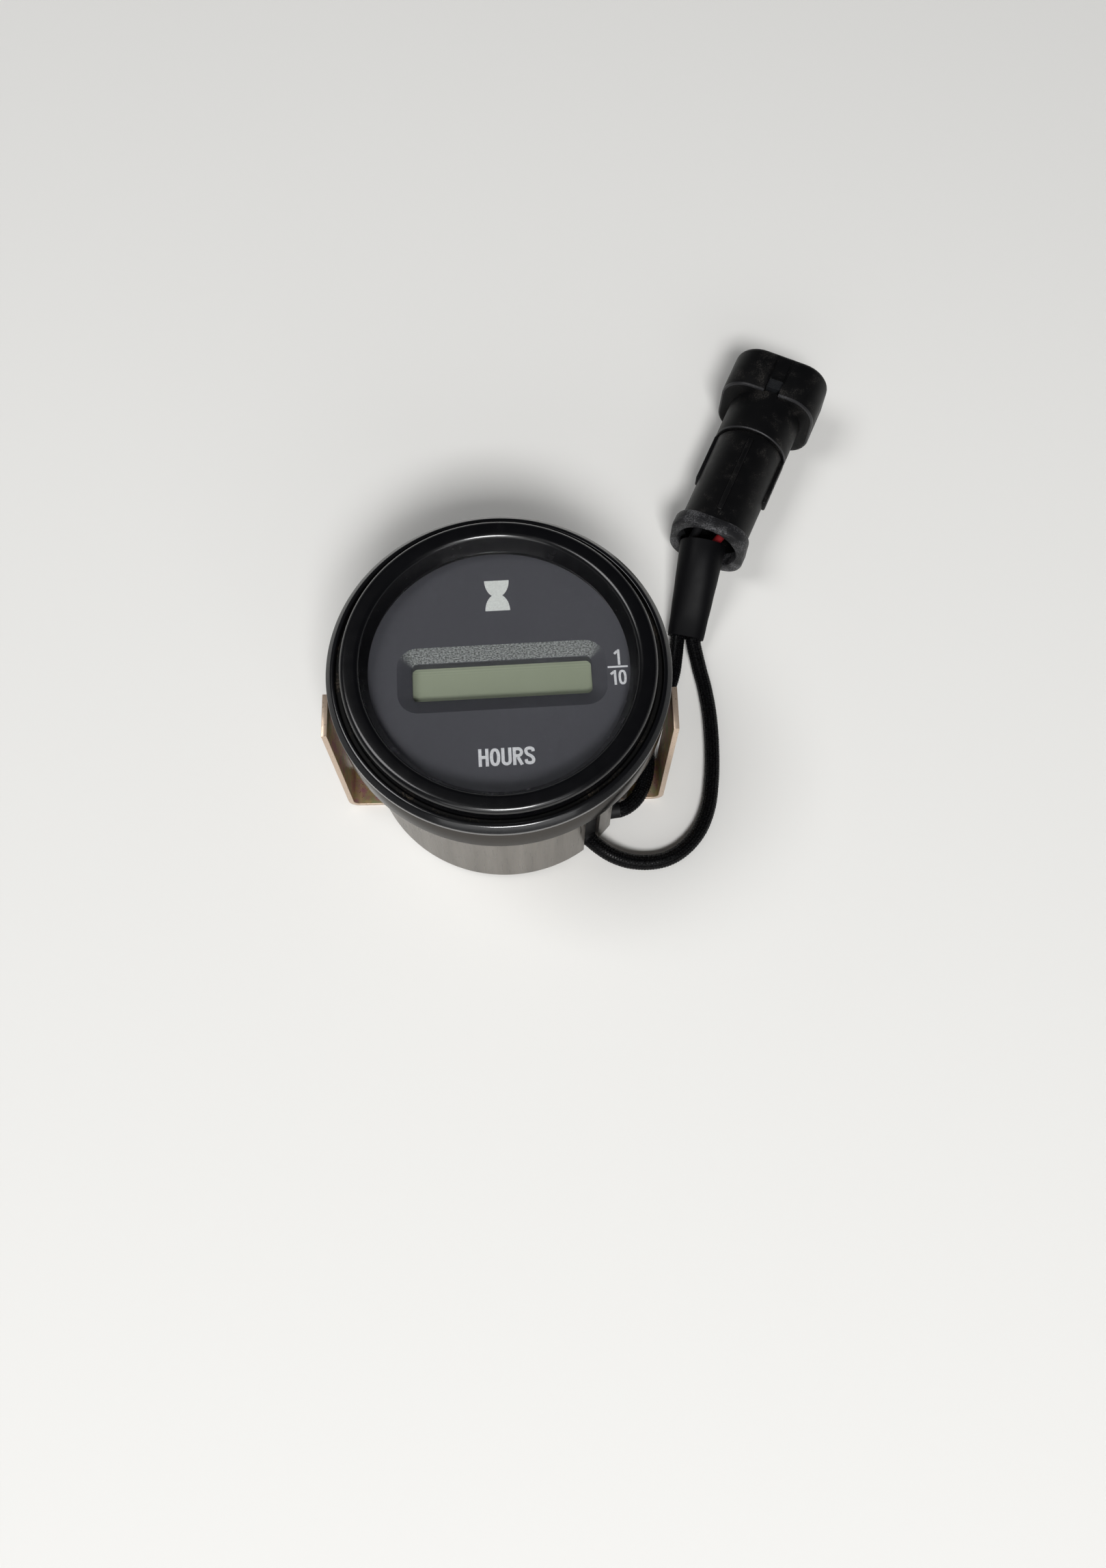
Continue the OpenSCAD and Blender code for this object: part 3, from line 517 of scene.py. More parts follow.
def weaveTree():  # floats of yarn laid over a lead, slanted left and right in turn
    tree = bpy.data.node_groups.new("sleeve_weave", "GeometryNodeTree")
    add = partial(addNode, tree)
    sockets = {}
    for name, kind in (("Geometry", "Geometry"), ("Radius", "Float"), ("Pitch", "Float"), ("Around", "Int"),
                       ("Float Size", "Vector"), ("Slant", "Float"), ("Yarn", "Material")):
        made = tree.interface.new_socket(name, in_out="INPUT", socket_type="NodeSocket" + kind)
        sockets[name] = made.identifier
    tree.interface.new_socket("Geometry", in_out="OUTPUT", socket_type="NodeSocketGeometry")
    given = add("NodeGroupInput").outputs
    even = add("GeometryNodeResampleCurve", {"Curve": given["Geometry"], "Length": given["Pitch"]},
               mode="LENGTH")
    kept = add("GeometryNodeCaptureAttribute", {"Geometry": even})
    kept.capture_items.new("VECTOR", "Along")
    setInputs(kept, {1: add("GeometryNodeInputTangent")})
    ring = add("GeometryNodeCurvePrimitiveCircle", {"Resolution": given["Around"], "Radius": given["Radius"]})
    skin = add("GeometryNodeCurveToMesh", {"Curve": kept, "Profile Curve": ring})
    index = add("GeometryNodeInputIndex")
    row = add("FunctionNodeIntegerMath", [index, given["Around"]], operation="DIVIDE_FLOOR")
    both = add("FunctionNodeIntegerMath", [index, row], operation="ADD")
    odd = add("FunctionNodeIntegerMath", [both, 2], operation="MODULO")
    sign = add("Math", [odd, 2.0, -1.0], operation="MULTIPLY_ADD")
    angle = add("Math", [sign, given["Slant"]], operation="MULTIPLY")
    stand = add("FunctionNodeAlignRotationToVector", {"Vector": add("GeometryNodeInputNormal")}, axis="Z")
    lay = add("FunctionNodeAlignRotationToVector", {"Rotation": stand, "Vector": kept.outputs[1]}, axis="X",
              pivot_axis="Z")
    spin = add("FunctionNodeAxisAngleToRotation", {"Axis": (0, 0, 1), "Angle": angle})
    turned = add("FunctionNodeRotateRotation", {"Rotation": lay, "Rotate By": spin}, rotation_space="LOCAL")
    bead = add("GeometryNodeMeshIcoSphere", {"Radius": 0.5, "Subdivisions": 1})
    soft = add("GeometryNodeSetShadeSmooth", {"Geometry": bead, "Shade Smooth": True})
    placed = add("GeometryNodeInstanceOnPoints", {"Points": skin, "Instance": soft, "Rotation": turned,
                 "Scale": given["Float Size"]})
    real = add("GeometryNodeRealizeInstances", {"Geometry": placed})
    painted = add("GeometryNodeSetMaterial", {"Geometry": real, "Material": given["Yarn"]})
    add("NodeGroupOutput", {0: painted})
    return tree, sockets


def weaveMesh(name, route, tree, sockets):
    curve = bpy.data.curves.new(name + "_line", "CURVE")
    curve.dimensions = "3D"
    spline = curve.splines.new("POLY")
    spline.points.add(len(route) - 1)
    for point, p in zip(spline.points, route):
        point.co = (*(p * mm), 1.0)
    holder = addObject(name + "_line", curve)
    modifier = holder.modifiers.new("weave", "NODES")
    modifier.node_group = tree
    values = {"Radius": (leads["diameter"] / 2 - weave["floatThick"] / 2) * mm, "Pitch": weave["pitch"] * mm,
              "Around": weave["around"], "Slant": radians(weave["slant"]), "Yarn": braid,
              "Float Size": [weave[k] * mm for k in ("floatLong", "floatWide", "floatThick")]}
    for key, value in values.items():
        modifier[sockets[key]] = value
    mesh = evaluated(holder)
    bpy.data.objects.remove(holder)
    return mesh


sleeveWeave, weaveSockets = weaveTree()
routes = dict(lead_1=leadRoute(leads["first"], 1), lead_2=leadRoute(leads["second"], -1))
for leadName, route in routes.items():
    core = tube(leadName + "_sleeve", route, leads["diameter"] / 2 - leads["coreTrim"])
    makePiece(leadName + "_sleeve", core, braid, [leadName])
    floats = weaveMesh(leadName + "_weave", route, sleeveWeave, weaveSockets)
    makePiece(leadName + "_weave", floats, braid)
print("leads laid")


# Heat shrink sleeve: flat and oval over the two leads, round where it meets the plug

shrink = dict(wall=0.5, rings=40, sides=56, mouthHigh=2.15, inPlug=1.3, ripple=0.03, rippleTurns=21.0,
              pinch=0.05, squareness=0.86)


def taperedSleeve():
    s, taper = shrink, sleeveTaper
    loops = []
    for inside in (False, True):
        for i in range(s["rings"] + 1):
            t = (i if not inside else s["rings"] - i) / s["rings"] * (1 + s["inPlug"] / taperLong)
            ease = min(t, 1.0) ** 2 * (3 - 2 * min(t, 1.0))
            wide = taper["startR"] + (taper["endR"] - taper["startR"]) * t
            high = s["mouthHigh"] + (taper["endR"] - s["mouthHigh"]) * ease
            ripple = s["ripple"] * sin(t * s["rippleTurns"]) * max(0.0, 1 - t)
            centre = taperStart + taperAxis * (taperLong * t) - taperUp * taper["low"] * (1 - ease)
            trim = s["wall"] if inside else 0.0
            loop = []
            for k in range(s["sides"]):
                a = 2 * pi * k / s["sides"]
                pinch = 1 - s["pinch"] * (1 - ease) * abs(sin(a)) ** 6  # the film dips between the leads
                square = copysign(abs(cos(a)) ** s["squareness"], cos(a))
                rise = (high + ripple - trim) * pinch * sin(a)
                loop.append(centre + taperSide * (wide + ripple - trim) * square + taperUp * rise)
            loops.append(loop)
    return loft("heat_shrink_sleeve", loops, closed=True, sharp=60)


shrinkPiece = makePiece("heat_shrink_sleeve", taperedSleeve(), shrinkPlastic,
                        ["heat_shrink"])


# Plug, built along its own axis and then put in place

plug = dict(
    at=(43.3, 39.1, 9.0), turn=63.0, long=44.0, bodyR=7.2, neckR=7.8, seam=24.8, seamGap=0.35, seamDeep=0.45,
    bodyRound=0.12, neckRound=0.3, cavityRound=0.4, cavityR=6.3, cavity=9.0, intoHood=1.0,
    lipWide=16.0, lipHigh=15.0, lipRound=5.0, lipLong=3.0, lipMouth=((0.4, -0.05), (0.1, 0.1), (0.0, 0.35)),
    lipEdge=((0.0, -0.5), (0.15, -0.15), (0.5, 0.0)),
    hoodFrom=33.8, hoodWide=20.4, hoodHigh=18.0, hoodRound=6.0, hoodWall=2.2, hoodFront=1.5, hoodFloor=2.6,
    hoodRear=((0.0, -1.4), (0.0, -0.45), (0.13, -0.13), (0.45, 0.0)), hoodEase=0.25,
    latchWide=3.2, latchLong=4.0, latchDeep=4.4, lineWide=0.44, lineDeep=0.3, lineFrom=3.2,
    ridge=(4.8, 23.0), ridgeHalf=0.5, ribFrom=13.5, ribOut=0.6, ribHigh=3.0, pinPitch=5.6,
)
# bands on the plug's rear edges that get the painted highlight
highlightBands = dict(seamAt=0.13, seamHalf=0.18, seamOut=0.32, hoodAt=0.2, hoodHalf=0.27, hoodOut=0.5,
            facing=(-0.96, -0.15))
plugPlace = Matrix.Translation(Vector(plug["at"]) * mm) @ Matrix.Rotation(radians(plug["turn"]), 4, "Z")
alongPlug = Matrix(((0, 0, 1, 0), (1, 0, 0, 0), (0, 1, 0, 0), (0, 0, 0, 1)))  # z axis onto the plug's axis


def plugLip():  # rounded square collar round the rear mouth
    b = plug
    end, bore = b["lipLong"], b["cavityR"]

    def square(x, grow):
        return softLoop(b["lipWide"], b["lipHigh"], b["lipRound"], grow, x)

    def mouth(x, radius):
        return [(*(Vector(p[:2]).normalized() * radius), x) for p in square(0, 0)]

    loops = [mouth(x, bore + flare) for x, flare in ((end, b["lipMouth"][0][1]), *b["lipMouth"])]
    loops += [square(x, grow) for x, grow in b["lipEdge"]]
    loops += [square(end - x, grow) for x, grow in b["lipEdge"][::-1]]
    return loft("plug_lip", loops, closed=True, sharp=40)


def plugBody():
    b = plug
    start, stop, gap = b["lipLong"] / 2, b["hoodFrom"] + b["intoHood"], b["seam"] - b["seamGap"]
    groove = b["bodyR"] - b["seamDeep"]
    return lathe("plug_body", [
        (b["cavityR"], start, 0), (b["bodyR"], start, 0), (b["bodyR"], gap, b["bodyRound"]), (groove, gap, 0),
        (groove, b["seam"], 0), (b["neckR"], b["seam"], b["neckRound"]), (b["neckR"], stop, 0),
        (1e-9, stop, 0), (1e-9, b["cavity"], 0), (b["cavityR"], b["cavity"], b["cavityRound"])], 5, 120)


def plugHood():
    b = plug
    back, end, front, wall = b["hoodFrom"], b["long"], b["hoodFront"], b["hoodWall"]
    rings = [(back + x, grow) for x, grow in b["hoodRear"]]
    for k in range(7):
        a = radians(90 * k / 6)
        rings.append((end - front + front * sin(a), front * (cos(a) - 1)))
    rings += [(end, b["hoodEase"] - wall), (end - b["hoodEase"], -wall), (back + b["hoodFloor"], -wall)]
    loops = [softLoop(b["hoodWide"], b["hoodHigh"], b["hoodRound"], grow, x) for x, grow in rings]
    return loft("plug_hood", loops, sharp=40)


def plugParts():
    b = plug
    top, back, half = b["hoodHigh"] / 2, b["hoodFrom"], b["latchWide"] / 2
    hood = plugHood()
    hood.transform(alongPlug)
    low, high = (back - 1, -half, top - b["latchDeep"]), (back + b["latchLong"], half, top + 2)
    cutters = [softBox("latch_cut", low, high, 0.25)]
    for y in (-half, half):
        low = (back + b["lineFrom"], y - b["lineWide"] / 2, top - b["lineDeep"])
        cutters.append(softBox("line_cut", low, (b["long"] + 1, y + b["lineWide"] / 2, top + 1), 0.1))
    shells = [plugLip(), plugBody(), cutAway(hood, cutters)]
    lipFaces = len(shells[0].polygons)
    for part in shells[:2]:
        part.transform(alongPlug)
    r, side, high, near = b["bodyR"], b["bodyR"] + b["ribOut"], b["ribHigh"] / 2, b["ridgeHalf"]
    shells.append(softBox("ridge", (b["ridge"][0], -near, r - near), (b["ridge"][1], near, r + near), 0.3))
    shells.append(softBox("ribs", (b["ribFrom"], -side, -high), (b["seam"] - 0.1, side, high), 0.3))
    bm = bmesh.new()
    for part in shells:
        bm.from_mesh(part)
    mesh = meshFrom(bm, "plug_housing")
    highlighted = []  # the rear edges of neck and hood, painted paler as a highlight
    for face in mesh.polygons:
        x, r = face.center.x / mm, hypot(face.center.y, face.center.z) / mm
        beyond = r - b["neckR"]
        onSeam = abs(x - b["seam"] - highlightBands["seamAt"]) < highlightBands["seamHalf"] and abs(beyond) < highlightBands["seamOut"]
        onHood = abs(x - back - highlightBands["hoodAt"]) < highlightBands["hoodHalf"] and beyond > highlightBands["hoodOut"]
        if highlightBands["facing"][0] < face.normal.x < highlightBands["facing"][1] and (onSeam or onHood):
            highlighted.append(face.index)
    mesh.transform(plugPlace)
    smoothAt(mesh, 38)
    return mesh, range(lipFaces), highlighted


plugMesh, lipFaces, highlightFaces = plugParts()
plugPiece = makePiece("plug_housing", plugMesh, plugPlastic, ["connector_housing"])
# the lip gets the grey grain, the rear edges the painted highlight
for index, (finish, faces) in enumerate(((plugGrain, lipFaces), (plugEdgeHighlight, highlightFaces)), 1):
    plugMesh.materials.append(finish)
    for k in faces:
        plugMesh.polygons[k].material_index = index

plugWires = dict(radius=0.9, sides=16, spread=2.4, tuck=3.0, reach=5.0, seat=2.0, step=0.4)


def plugWire(name, side, material):
    w, turn = plugWires, radians(plug["turn"])
    start = taperEnd + taperSide * w["spread"] * side - taperAxis * w["tuck"]
    tuck, reach = start + taperAxis * w["tuck"], start + taperAxis * w["reach"]
    axis = Vector((cos(turn), sin(turn), 0))
    across = Vector((axis.y, -axis.x, 0))
    seat = Vector(plug["at"]) + axis * plug["cavity"] + across * side * plug["pinPitch"] / 2
    route = smoothRoute([start, tuck, reach, seat - axis * w["seat"], seat], w["step"])
    mesh = tube(name, route, w["radius"], w["sides"])
    return makePiece(name + "_insulation", mesh, material, [name])


wires = [plugWire("red_wire", 1, redInsulation),
         plugWire("black_wire", -1, blackInsulation)]
print("plug and its wires made")


# Front: rim, rubber in the groove, bezel ring and lens

front = dict(top=40.0, rimR=30.0, rimIn=28.4, rimHigh=1.8, rimWall=0.85, rimFlat=0.62, ringOut=27.4,
             ringIn=24.2, ringHigh=4.2, ringRound=1.1, ringLip=0.15, opening=22.7, lensR=25.4, lensSeat=1.0,
             lensThick=1.9, lensGap=0.1, sealHigh=0.9, sealGap=0.05, dialDrop=1.6, stackR=28.9,
             rimRound=(0.15, 0.35, 0.7, 0.22), lipRound=0.1, sealRound=0.25, lensRound=0.2)


def frontMeshes():
    f = front
    base, seat = f["top"], f["top"] + f["lensSeat"]
    rimTop, ringTop, sealTop = (base + f[k] for k in ("rimHigh", "ringHigh", "sealHigh"))
    pocket, under, lower = f["lensR"] + f["lensGap"], base - f["dialDrop"], seat - f["lensThick"]
    inner, outer = f["ringOut"] + f["sealGap"], f["rimIn"] - f["sealGap"]
    fillets, soft = f["rimRound"], f["sealRound"]
    rim = lathe("rim_band", [
        (f["rimIn"], base, 0), (f["rimR"], base, fillets[0]), (f["rimR"], base + f["rimWall"], fillets[1]),
        (f["rimIn"] + f["rimFlat"], rimTop, fillets[2]), (f["rimIn"], rimTop, fillets[3])], 9)
    ring = lathe("bezel_front", [
        (f["opening"], seat, 0), (pocket, seat, 0), (pocket, under, 0), (f["stackR"], under, 0),
        (f["stackR"], base, 0), (f["ringOut"], base, 0), (f["ringOut"], ringTop, f["ringRound"]),
        (f["ringIn"], ringTop, f["ringRound"]), (f["opening"], seat + f["ringLip"], f["lipRound"])], 8)
    rubber = lathe("groove_rubber", [
        (inner, base, 0), (outer, base, 0), (outer, sealTop, soft), (inner, sealTop, soft)], 4)
    lens = lathe("lens_disc", [
        (1e-9, lower, 0), (f["lensR"], lower, f["lensRound"]), (f["lensR"], seat, f["lensRound"]),
        (1e-9, seat, 0)], 4)
    return rim, ring, rubber, lens


rimMesh, ringMesh, rubberMesh, lensMesh = frontMeshes()
makePiece("rim_band", rimMesh, rimPaint, ["rim"])
makePiece("bezel_front", ringMesh, bezelPlastic, ["bezel_ring"])
makePiece("groove_rubber", rubberMesh, sealRubber, ["bezel_seal"])
makePiece("lens_disc", lensMesh, lensAcrylic, ["lens"])


# Dial with its bevelled window, and the print on it

dial = dict(face=38.4, plate=37.6, glass=35.4, radius=28.9, windowAt=(0.4, -0.7), windowWide=31.0,
            windowHigh=6.9, windowRound=1.0, bevel=2.6, bevelDeep=1.0, collar=1.3,
            slopeHead=((0.06, 0.0), (-0.02, -0.03)),  # outset and height, here and at the slope's foot
            slopeFoot=((0.24, 0.09), (0.13, 0.02), (0.04, -0.08), (0.0, -0.2)))


def dialMesh():
    d = dial

    def rect(grow, z):
        return softLoop(d["windowWide"], d["windowHigh"], d["windowRound"], grow, z, d["windowAt"])

    def disc(z):
        return [(*(Vector(p[:2]).normalized() * d["radius"]), z) for p in rect(d["bevel"], z)]

    face, floor, glass, collar = d["face"], d["face"] - d["bevelDeep"], d["glass"], d["collar"]
    loops = [disc(face)] + [rect(d["bevel"] + grow, face + rise) for grow, rise in d["slopeHead"]]
    loops += [rect(grow, floor + rise) for grow, rise in d["slopeFoot"]]
    loops += [rect(0.0, glass), rect(collar, glass), rect(collar, d["plate"]), disc(d["plate"])]
    return loft("dial_face", loops, closed=True, sharp=14)


makePiece("dial_face", dialMesh(), dialPlastic, ["dial_plate"])

marks = dict(lift=0.015, thick=0.02,  # mm, boxes are left, right, bottom, top
             hours=(-4.3, 5.3, -17.15, -13.95), hoursPen=(0.55, 0.21),  # stroke and gap
             one=(20.05, 21.05, 0.29, 3.22), ten=(19.2, 21.95, -3.43, -0.68), tenPen=(0.42, 0.36),
             bar=(18.8, 22.3, -0.21, 0.13), glassBox=(-1.9, 2.45, 11.92, 17.82), waist=0.42)


def letterLines(letter, w, t):  # middle lines of a letter one unit high and w wide, drawn with a stroke t
    h = t / 2
    if letter == "H":
        return [[(h, 0), (h, 1)], [(w - h, 0), (w - h, 1)], [(t, 0.52), (w - t, 0.52)]]
    if letter in "O0":
        ring = []
        for k in range(41):
            a = 2 * pi * k / 40
            c, d = cos(a), sin(a)
            across, along = copysign(abs(c) ** 0.75, c), copysign(abs(d) ** 0.85, d)
            ring.append((w / 2 + (w / 2 - h) * across, 0.5 + (0.5 - h) * along))
        return [ring]
    if letter == "U":
        r = w / 2 - h
        angles = [pi * k / 16 for k in range(17)]
        turn = [(w / 2 - r * cos(a), h + r - r * sin(a)) for a in angles]
        return [[(h, 1)] + turn + [(w - h, 1)]]
    if letter == "R":
        r = 0.2
        angles = [pi * k / 12 for k in range(13)]
        bowl = [(w - h - r + r * sin(a), 1 - h - r + r * cos(a)) for a in angles]
        leg = [(0.5 * w, 1 - 2 * r - 2 * h), (w - 0.9 * h, 0)]
        return [[(h, 0), (h, 1)], [(t, 1 - h)] + bowl + [(t, 1 - h - 2 * r)], leg]
    if letter == "S":
        knots = [(0.84, 0.72), (0.8, 0.86), (0.5, 0.92), (0.2, 0.86), (0.16, 0.72), (0.28, 0.59), (0.5, 0.51),
                 (0.74, 0.41), (0.85, 0.27), (0.78, 0.13), (0.5, 0.08), (0.2, 0.13), (0.14, 0.29)]
        return [[(q.x, q.y) for q in smoothRoute([Vector((x * w, y, 0)) for x, y in knots], 0.03)]]
    return [[(w - h, 0), (w - h, 1)], [(w - t, 0.9), (0.02, 0.72)]]  # a one, with its flag


def inkLines(bm, lines, width, toDial):  # each line becomes a strip of faces
    for line in lines:
        closed = line[0] == line[-1]
        spots = [Vector(q) for q in (line[:-1] if closed else line)]
        count = len(spots)
        pairs = []
        for i, q in enumerate(spots):
            before = spots[i - 1] if closed or i else q
            after = spots[(i + 1) % count] if closed or i < count - 1 else q
            way = (after - before).normalized()
            off = Vector((-way.y, way.x)) * width / 2
            pairs.append((bm.verts.new(toDial(q + off)), bm.verts.new(toDial(q - off))))
        for i in range(count if closed else count - 1):
            a, b = pairs[i], pairs[(i + 1) % count]
            bm.faces.new((a[0], a[1], b[1], b[0]))


def raisedInk(name, bm, finish):  # a thin layer of ink with its own edge
    rise = Vector((0, 0, marks["thick"] * mm))
    flat, rims = list(bm.faces), [e.verts[:] for e in bm.edges if len(e.link_faces) == 1]
    upper = {v: bm.verts.new(v.co + rise) for v in list(bm.verts)}
    for face in flat:
        bm.faces.new([upper[v] for v in face.verts])
    for a, b in rims:
        bm.faces.new((a, b, upper[b], upper[a]))
    bmesh.ops.recalc_face_normals(bm, faces=bm.faces)
    return makePiece(name, meshFrom(bm, name), finish)


def printWord(name, letters, box, pen, widths):  # widths are shares of the room
    left, right, bottom, top = box
    stroke, gap = pen
    high = top - bottom
    room = right - left - gap * (len(letters) - 1)
    bm = bmesh.new()
    x = left
    for letter, share in zip(letters, widths):
        wide = room * share / sum(widths)

        def toDial(q, x=x):
            return Vector((x + q.x * high, bottom + q.y * high, dial["face"] + marks["lift"])) * mm

        inkLines(bm, letterLines(letter, wide / high, stroke / high), stroke / high, toDial)
        x += wide + gap
    return raisedInk(name, bm, ink)


def hourglassOutline():  # two bowls, mouth to mouth at the waist
    left, right, bottom, top = marks["glassBox"]
    mid, half, waist = (left + right) / 2, (right - left) / 2, (bottom + top) / 2
    bend = sqrt(1 - marks["waist"] ** 2)
    side = [(half * sqrt(1 - (bend * k / 12) ** 2), top - (top - waist) * k / 12) for k in range(13)]
    side += [(w, 2 * waist - y) for w, y in side[-2::-1]]
    return [(mid + w, y) for w, y in side[::-1]] + [(mid - w, y) for w, y in side]


def printShape(name, outline, finish):
    bm = bmesh.new()
    bm.faces.new([bm.verts.new(Vector((x, y, dial["face"] + marks["lift"])) * mm) for x, y in outline])
    return raisedInk(name, bm, finish)


x0, x1, y0, y1 = marks["bar"]
printWord("print_hours", "HOURS", marks["hours"], marks["hoursPen"], (1, 1, 1, 1.02, 1.02))
printWord("print_one", "1", marks["one"], marks["tenPen"], (1,))
printWord("print_ten", "10", marks["ten"], marks["tenPen"], (0.85, 1.2))
printShape("print_bar", [(x0, y0), (x1, y0), (x1, y1), (x0, y1)], ink)
printShape("print_hourglass", hourglassOutline(), inkHeavy)
print("front and dial made")


# Case: one drawn shell with two slots for the leads

shell = dict(base=1.0, step=32.8, top=40.0, bodyR=26.0, flangeR=29.8, wall=0.8, edge=0.5, stepRound=0.25,
             topRound=0.1, floorRound=0.3, slotHigh=24.0, slotPast=0.6,
             slots=((-53.0, 3.6), (-34.0, 6.4)))  # each slot's angle and width


def caseMesh():
    s = shell
    inner, bore = s["bodyR"] - s["wall"], s["flangeR"] - s["wall"]
    floor, ledge = s["base"] + s["wall"], s["step"] + s["wall"]
    mesh = lathe("case_shell", [
        (1e-9, s["base"], 0), (s["bodyR"], s["base"], s["edge"]), (s["bodyR"], s["step"], s["stepRound"]),
        (s["flangeR"], s["step"], s["edge"]), (s["flangeR"], s["top"], s["topRound"]), (bore, s["top"], 0),
        (bore, ledge, 0), (inner, ledge, 0), (inner, floor, s["floorRound"]), (1e-9, floor, 0)], 5, 256)
    cutters = []
    for angle, width in s["slots"]:
        low = (inner - s["slotPast"], -width / 2, s["base"] - 1)
        cutter = softBox("slot_cut", low, (s["bodyR"] + 1, width / 2, s["base"] + s["slotHigh"]), 0.3)
        cutter.transform(Matrix.Rotation(radians(angle), 4, "Z"))
        cutters.append(cutter)
    mesh = cutAway(mesh, cutters)
    smoothAt(mesh, 35)
    return mesh


makePiece("case_shell", caseMesh(), steel, ["case"])


# Clamp: a bent strap; its cut edges keep a mark for the finish

clamp = dict(wide=8.0, thick=1.0, offset=6.7, turn=-2.0, bend=1.4, inside=30.0, top=37.6, edge=0.12,
             edgeAngle=50, cutFacing=0.3, tip=0.3)


def clampMesh():
    c = clamp
    inside, out, top, thick = c["inside"], c["inside"] + c["thick"], c["top"], c["thick"]
    outer = c["bend"] + thick
    strip = rounded([(-inside, top, 0), (-out, top, 0), (-out, 0.0, outer), (out, 0.0, outer), (out, top, 0),
                     (inside, top, 0), (inside, thick, c["bend"]), (-inside, thick, c["bend"])], 8)
    bm = bmesh.new()
    half = c["wide"] / 2
    rings = [[bm.verts.new(Vector((p.x, y, p.y)) * mm) for p in strip] for y in (-half, half)]
    count = len(strip)
    for k in range(count):
        n = (k + 1) % count
        bm.faces.new((rings[0][k], rings[0][n], rings[1][n], rings[1][k]))
    bm.faces.new(rings[0])
    bm.faces.new(rings[1][::-1])
    strap = addObject("clamp_strap", closeMesh(bm, "clamp_strap"))
    soften = strap.modifiers.new("soften", "BEVEL")
    soften.width = c["edge"] * mm
    soften.segments = 2
    soften.limit_method = "ANGLE"
    soften.angle_limit = radians(c["edgeAngle"])
    mesh = evaluated(strap)
    bpy.data.objects.remove(strap)
    marked = mesh.attributes.new("cutEdge", "FLOAT", "FACE")
    for face in mesh.polygons:
        onTip = face.normal.z > c["cutFacing"] and face.center.z > (top - c["tip"]) * mm
        marked.data[face.index].value = 1.0 if onTip or abs(face.normal.y) > c["cutFacing"] else 0.0
    smoothAt(mesh, 35)
    shift = Matrix.Translation((0, -c["offset"] * mm, 0))
    mesh.transform(Matrix.Rotation(radians(c["turn"]), 4, "Z") @ shift)
    return mesh


makePiece("clamp_strap", clampMesh(), zinc, ["clamp_bracket"])
print("case and clamp made")


# Nodes that keep their own solid, mostly inside the case

keptNodes = dict(
    lens_gasket=plainRubber, lead_seal=plainRubber, lcd_cell=displayOlive, clamp_screws=zinc,
    lock_tab=mottled("nylon_moulded_tab", "#1A1B1D", "#242527", 0.6, 0.25),
    spacer_ring=mottled("abs_moulded_white", "#DEDDD8", "#CFCEC8", 2.0, 0.5),
    lcd_holder=mottled("polycarbonate_moulded_white", "#E2E1DD", "#D4D3CE", 2.0, 0.45),
    lcd_reflector=mottled("foil_matte_silver", "#A9AD98", "#989C88", 0.8, 0.5, metal=0.4),
    zebra_strips=contactRubber(),
    circuit_board=mottled("laminate_masked_green", "#12502F", "#0E4427", 0.7, 0.35),
    controller_chip=mottled("epoxy_moulded_black", "#17171A", "#222226", 0.3, 0.6),
    crystal=mottled("steel_drawn_bright", "#B9B9B7", "#A5A5A3", 1.0, 0.25, metal=1.0),
    capacitor=mottled("pet_shrunk_blue", "#1B2342", "#151B34", 1.5, 0.35),
    board_screws=mottled("steel_plated_bright", "#C2C2C0", "#A9A9A7", 0.5, 0.3, metal=1.0),
    module_cup=mottled("pp_moulded_grey", "#6B6C6E", "#606163", 0.8, 0.55),
    inner_wires=redInsulation,
    wire_seals=mottled("silicone_moulded_red", "#A24A38", "#8C3E2F", 0.6, 0.6),
    terminal_pins=mottled("brass_tinned", "#C8B98A", "#B7B2A6", 0.5, 0.3, metal=1.0),
)
keptNodes["memory_chip"] = keptNodes["regulator"] = keptNodes["controller_chip"]
keptNodes["weld_nuts"] = keptNodes["board_screws"]
for nodeName, finish in keptNodes.items():
    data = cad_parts[nodeName].data
    data.materials.clear()
    data.materials.append(finish)
print("inner nodes finished")
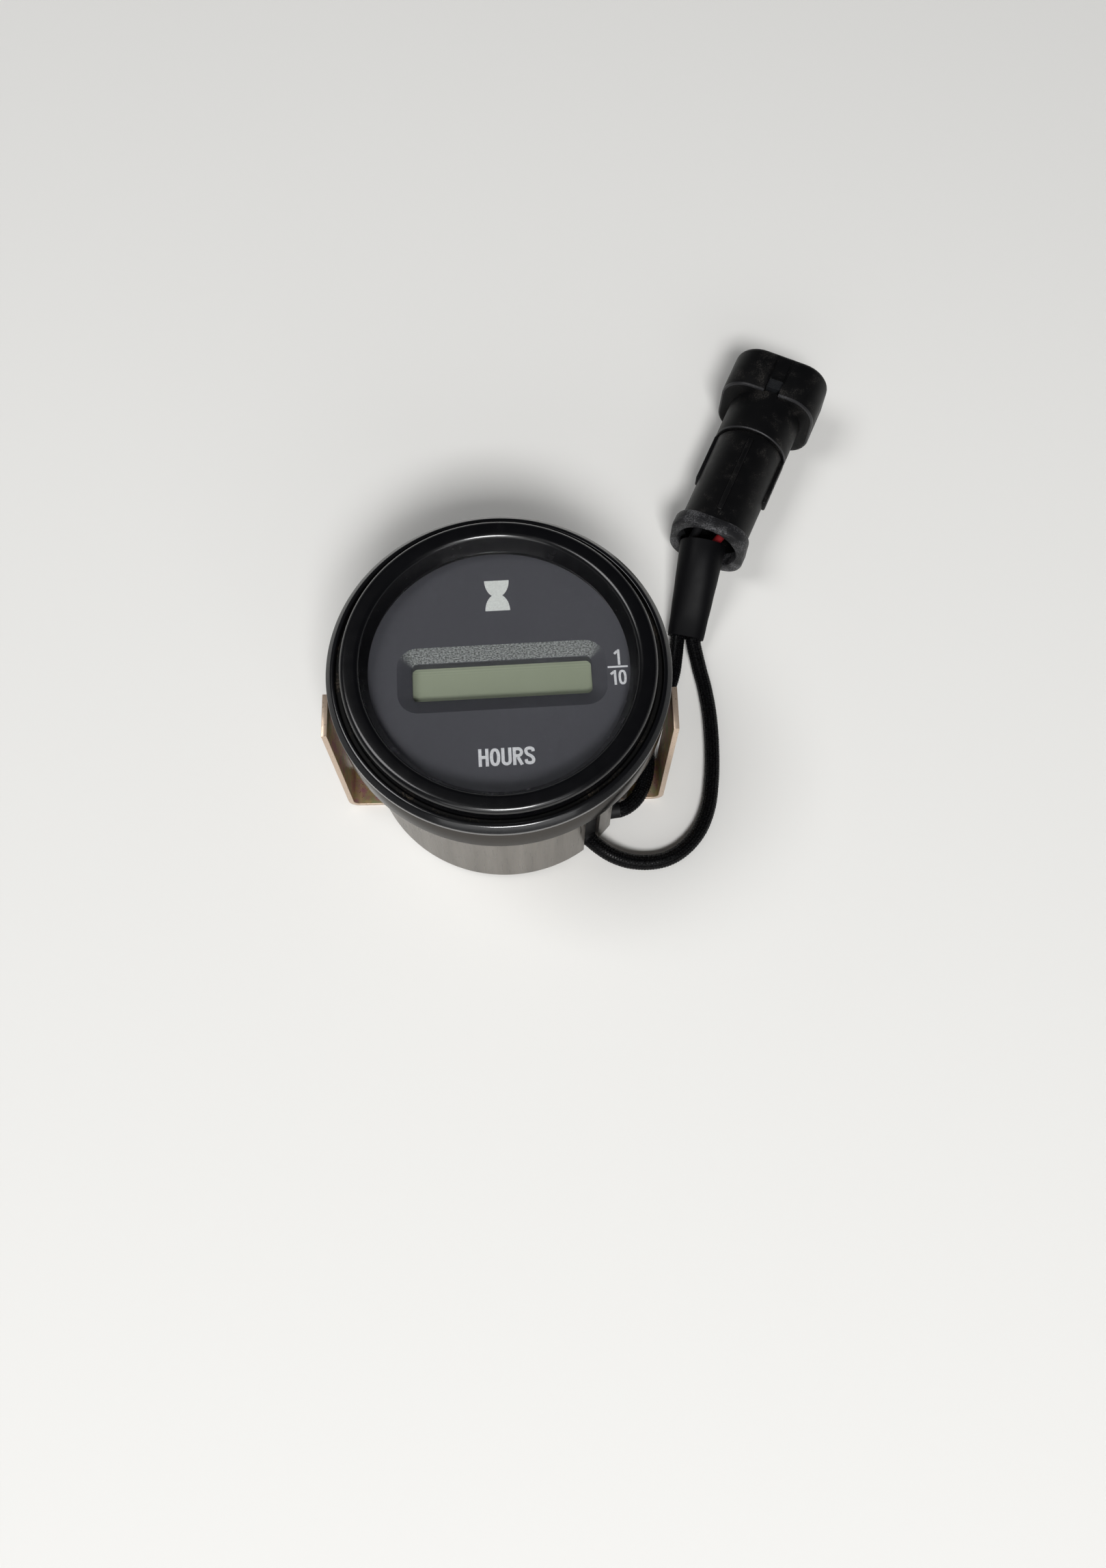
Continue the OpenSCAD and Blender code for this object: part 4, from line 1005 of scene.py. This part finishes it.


# Cords: each lead's route runs from the case to 8 mm inside the sleeve; the pieces at each lead's far end are
# listed and its route looked up, and nothing more is done

inPlug = [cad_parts[n] for n in ("lock_tab", "wire_seals", "terminal_pins")]
plugSide = [shrinkPiece, plugPiece, *wires, *inPlug]
for leadName, carried in (("lead_1", plugSide), ("lead_2", [shrinkPiece])):
    route = routes[leadName]


# Floor, lamps and world

studio = dict(floor="#EAE9E6", floorRough=0.9, halfWide=1.6, wall="#A9AAAB", ceiling="#2A2C2E",
              fade=(0.05, 0.4))
lamps = dict(  # metres and watts
    key_left=dict(place=(-0.76, 0.12, 1.44), aim=(0, 0, 0.02), size=(0.68, 0.68), watts=8.0),
    front_panel=dict(place=(0.04, -0.86, 1.1), aim=(0, 0, 0.03), size=(0.4, 0.3), watts=15.0),
    front_strip=dict(place=(0, -1.15, 0.7), aim=(0, 0, 0.03), size=(1.6, 0.5), watts=4.0),
)


def addFloor():
    bm = bmesh.new()
    bmesh.ops.create_grid(bm, x_segments=1, y_segments=1, size=studio["halfWide"])
    floor = addObject("floor", meshFrom(bm, "floor"))
    finish = {"Base Color": studio["floor"], "Roughness": studio["floorRough"]}
    floor.data.materials.append(shaded(startMaterial("paper_matte_pale")[0], finish))


def addLamp(name, place, aim, size, watts):
    data = bpy.data.lights.new(name, "AREA")
    data.shape = "RECTANGLE"
    data.size, data.size_y = size
    data.energy = watts
    facing = (Vector(aim) - Vector(place)).to_track_quat("-Z", "Y").to_matrix().to_4x4()
    addObject(name, data).matrix_world = Matrix.Translation(place) @ facing


def addWorld():  # pale walls that darken overhead
    world = bpy.data.worlds.new("studio")
    scene.world = world
    world.use_nodes = True
    add = partial(addNode, world.node_tree)
    height = add("SeparateXYZ", [add("TexCoord").outputs["Generated"]]).outputs["Z"]
    overhead = add("MapRange", [height, *studio["fade"]])
    room = add("Mix", {0: overhead, 6: studio["wall"], 7: studio["ceiling"]}, data_type="RGBA")
    setInputs(world.node_tree.nodes["Background"], {"Color": room})


addFloor()
for lampName, lampAt in lamps.items():
    addLamp(lampName, **lampAt)
addWorld()
print("studio lit")
